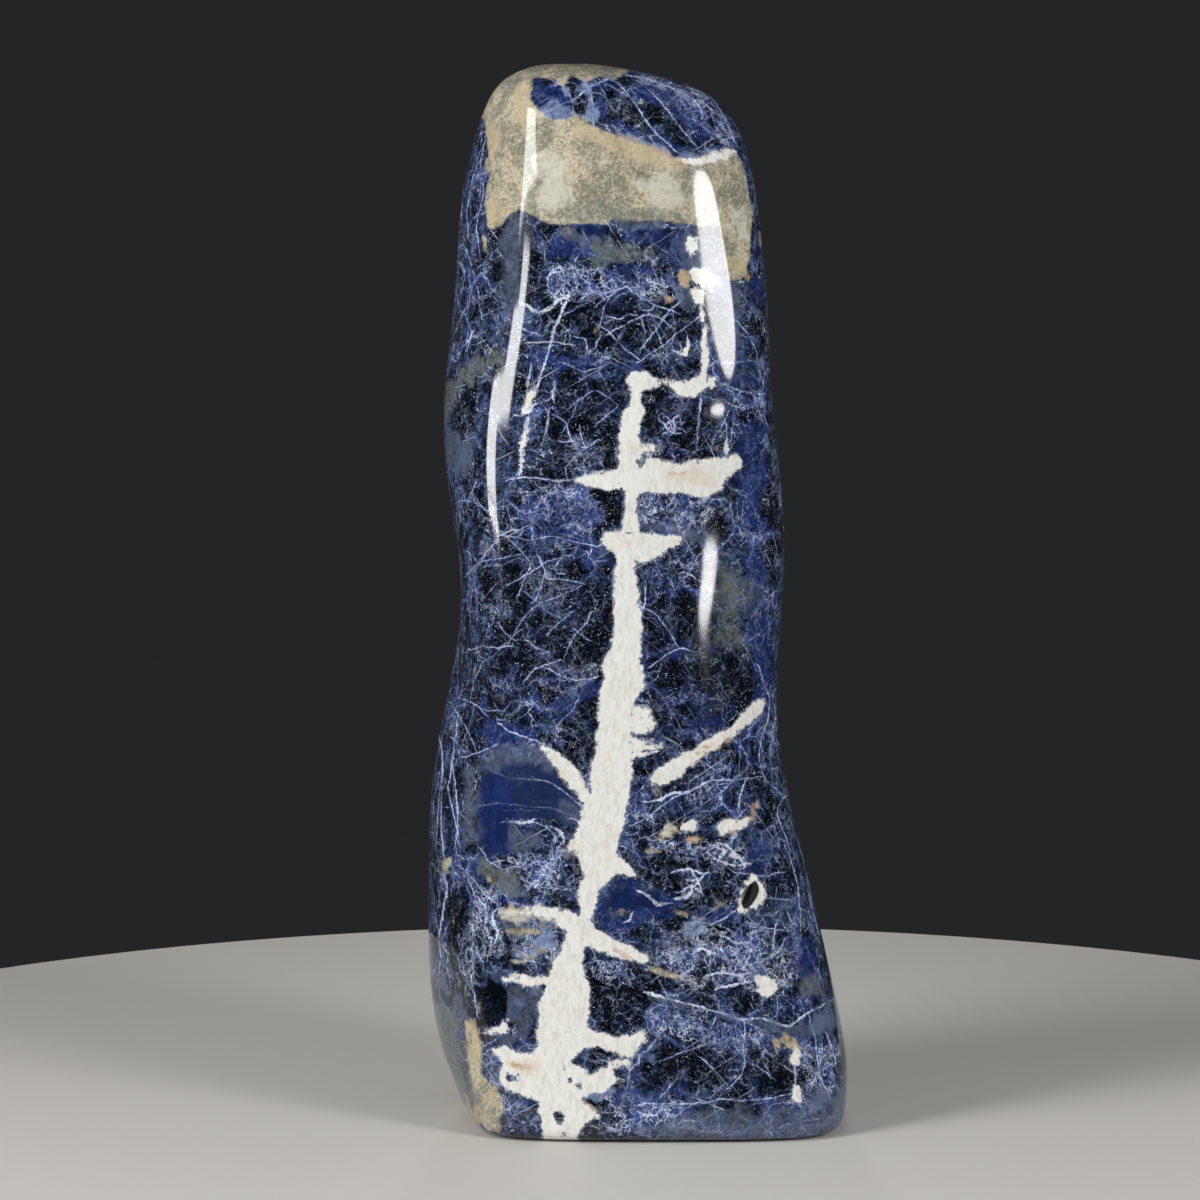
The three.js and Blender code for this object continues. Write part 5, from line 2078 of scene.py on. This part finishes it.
@dataclass(frozen=True)
class Softbox:
    """A lamp behind a cloth, aimed level at the stone's axis or at a point on it.

    Attributes:
        azimuth: where it stands, in degrees round the stone from its front, right positive.
        away: how far it stands from the axis, in metres.
        low: the height of its lower edge, and high that of its upper edge.
        tilt: how far it looks down, in degrees.
        roll: how far it is turned about its own aim, in degrees.
        outline: the outline of its cloth.
        mirrored: whether the polish shows it; a lamp that only fills the shadows is kept out.
    """

    name: str
    azimuth: float
    away: float
    low: float
    high: float
    width: float
    watts: float
    tilt: float = 0.0
    roll: float = 0.0
    outline: Outline = Outline.RECTANGLE
    mirrored: bool = True

    def build(self) -> bpy.types.Object:
        """Hang the lamp."""
        lamp = bpy.data.lights.new(self.name, "AREA")
        lamp.shape = self.outline.value
        lamp.size, lamp.size_y = self.width, self.high - self.low
        lamp.energy = self.watts
        rig = bpy.data.objects.new(self.name, lamp)
        bpy.context.scene.collection.objects.link(rig)
        turn = math.radians(self.azimuth)
        height = (self.low + self.high) / 2.0
        rig.location = (math.sin(turn) * self.away, -math.cos(turn) * self.away, height)
        nod = math.pi / 2.0 - math.radians(self.tilt)
        aim = Matrix.Rotation(turn, 3, "Z") @ Matrix.Rotation(nod, 3, "X")
        aim = aim @ Matrix.Rotation(math.radians(self.roll), 3, "Z")
        rig.rotation_euler = aim.to_euler()
        rig.visible_glossy = self.mirrored
        return rig


@dataclass
class Studio:
    """A pale floor, softboxes on both sides, soft light from above and behind, and a camera."""

    floor_radius: float = 0.42
    floor_sides: int = 96
    world_colour: str = "#bcbfc4"
    world_strength: float = 0.035
    sensor_mm: float = 36.0
    lens_mm: float = 118.2
    sight_m: float = 20.0  # how far the camera sees
    softboxes: tuple[Softbox, ...] = (
        Softbox("left_high_softbox", -60.0, 1.0, 0.60, 1.50, 0.28, 9.9, roll=20.0),
        Softbox("left_upper_softbox", -48.8, 1.0, 0.50, 0.585, 0.113, 0.52),
        Softbox("left_softbox", -50.5, 1.0, 0.335, 0.50, 0.21, 1.95),
        Softbox("left_wide_softbox", -63.5, 1.0, 0.238, 0.41, 0.244, 2.35),
        Softbox("left_low_softbox", -63.5, 1.0, 0.205, 0.232, 0.244, 0.37),
        Softbox("left_fill", -50.0, 1.0, 0.0, 0.6, 0.4, 1.7, mirrored=False),
        Softbox("right_softbox", 47.5, 1.0, 0.37, 0.80, 0.30, 6.3, outline=Outline.ELLIPSE),
        Softbox("right_low_softbox", 40.3, 1.0, 0.240, 0.284, 0.118, 0.30, outline=Outline.ELLIPSE),
        Softbox("right_fill", 57.5, 1.0, 0.0, 0.6, 0.33, 2.6, mirrored=False),
        Softbox("rear_softbox", 180.0, 1.6, -0.08, 0.30, 0.24, 9.0, mirrored=False),
        Softbox("rear_strip", 180.0, 1.6, 0.20, 0.44, 0.06, 0.6),
        Softbox("top_softbox", 0.0, 0.0, 1.4, 2.3, 0.90, 4.0, tilt=90.0, mirrored=False),
    )

    def build(self) -> None:
        """Lay the floor, hang the lamps and stand the camera."""
        self.lay_floor()
        for softbox in self.softboxes:
            softbox.build()
        self.light_world()
        self.stand_camera()

    def lay_floor(self) -> None:
        """Lay a round, pale floor under the stone."""
        shape = bmesh.new()
        bmesh.ops.create_circle(
            shape, cap_ends=True, segments=self.floor_sides, radius=self.floor_radius
        )
        mesh = bpy.data.meshes.new("floor")
        shape.to_mesh(mesh)
        shape.free()
        mesh.materials.append(PaintedBoard().build())
        floor = bpy.data.objects.new("floor", mesh)
        bpy.context.scene.collection.objects.link(floor)
        floor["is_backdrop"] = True

    def light_world(self) -> None:
        """Fill the dark with a dim grey, so that no shadow is black."""
        world = bpy.data.worlds.new("dim_studio")
        world.use_nodes = True
        background = world.node_tree.nodes["Background"]
        background.inputs["Color"].default_value = linear(self.world_colour)
        background.inputs["Strength"].default_value = self.world_strength
        bpy.context.scene.world = world
        bpy.context.scene.view_settings.view_transform = "Standard"

    def stand_camera(self) -> None:
        """Stand the camera where the board of the front is looked at from."""
        camera = bpy.data.cameras.new("camera")
        camera.sensor_width = self.sensor_mm
        camera.lens = self.lens_mm
        camera.clip_end = self.sight_m
        stand = bpy.data.objects.new("camera", camera)
        bpy.context.scene.collection.objects.link(stand)
        stand.location = FRONT.eye_mm() * MM
        stand.rotation_euler = (math.pi / 2.0 - math.radians(FRONT.pitch), 0.0, 0.0)
        bpy.context.scene.camera = stand


def main() -> None:
    """Make the stone and the studio."""
    logging.basicConfig(level=logging.INFO, format="%(name)s: %(message)s")
    stone = Stone().build(PolishedSodalite().build())
    LOG.info("%s: %d points, %d faces", stone.name, len(stone.data.vertices), len(stone.data.polygons))
    Studio().build()
    LOG.info("studio: floor, lamps and camera")
    sizes = {"cad": [list(corner) for corner in cad_box]}
    sizes["visual"] = [list(corner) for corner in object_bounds()]


if __name__ == "__main__":
    main()
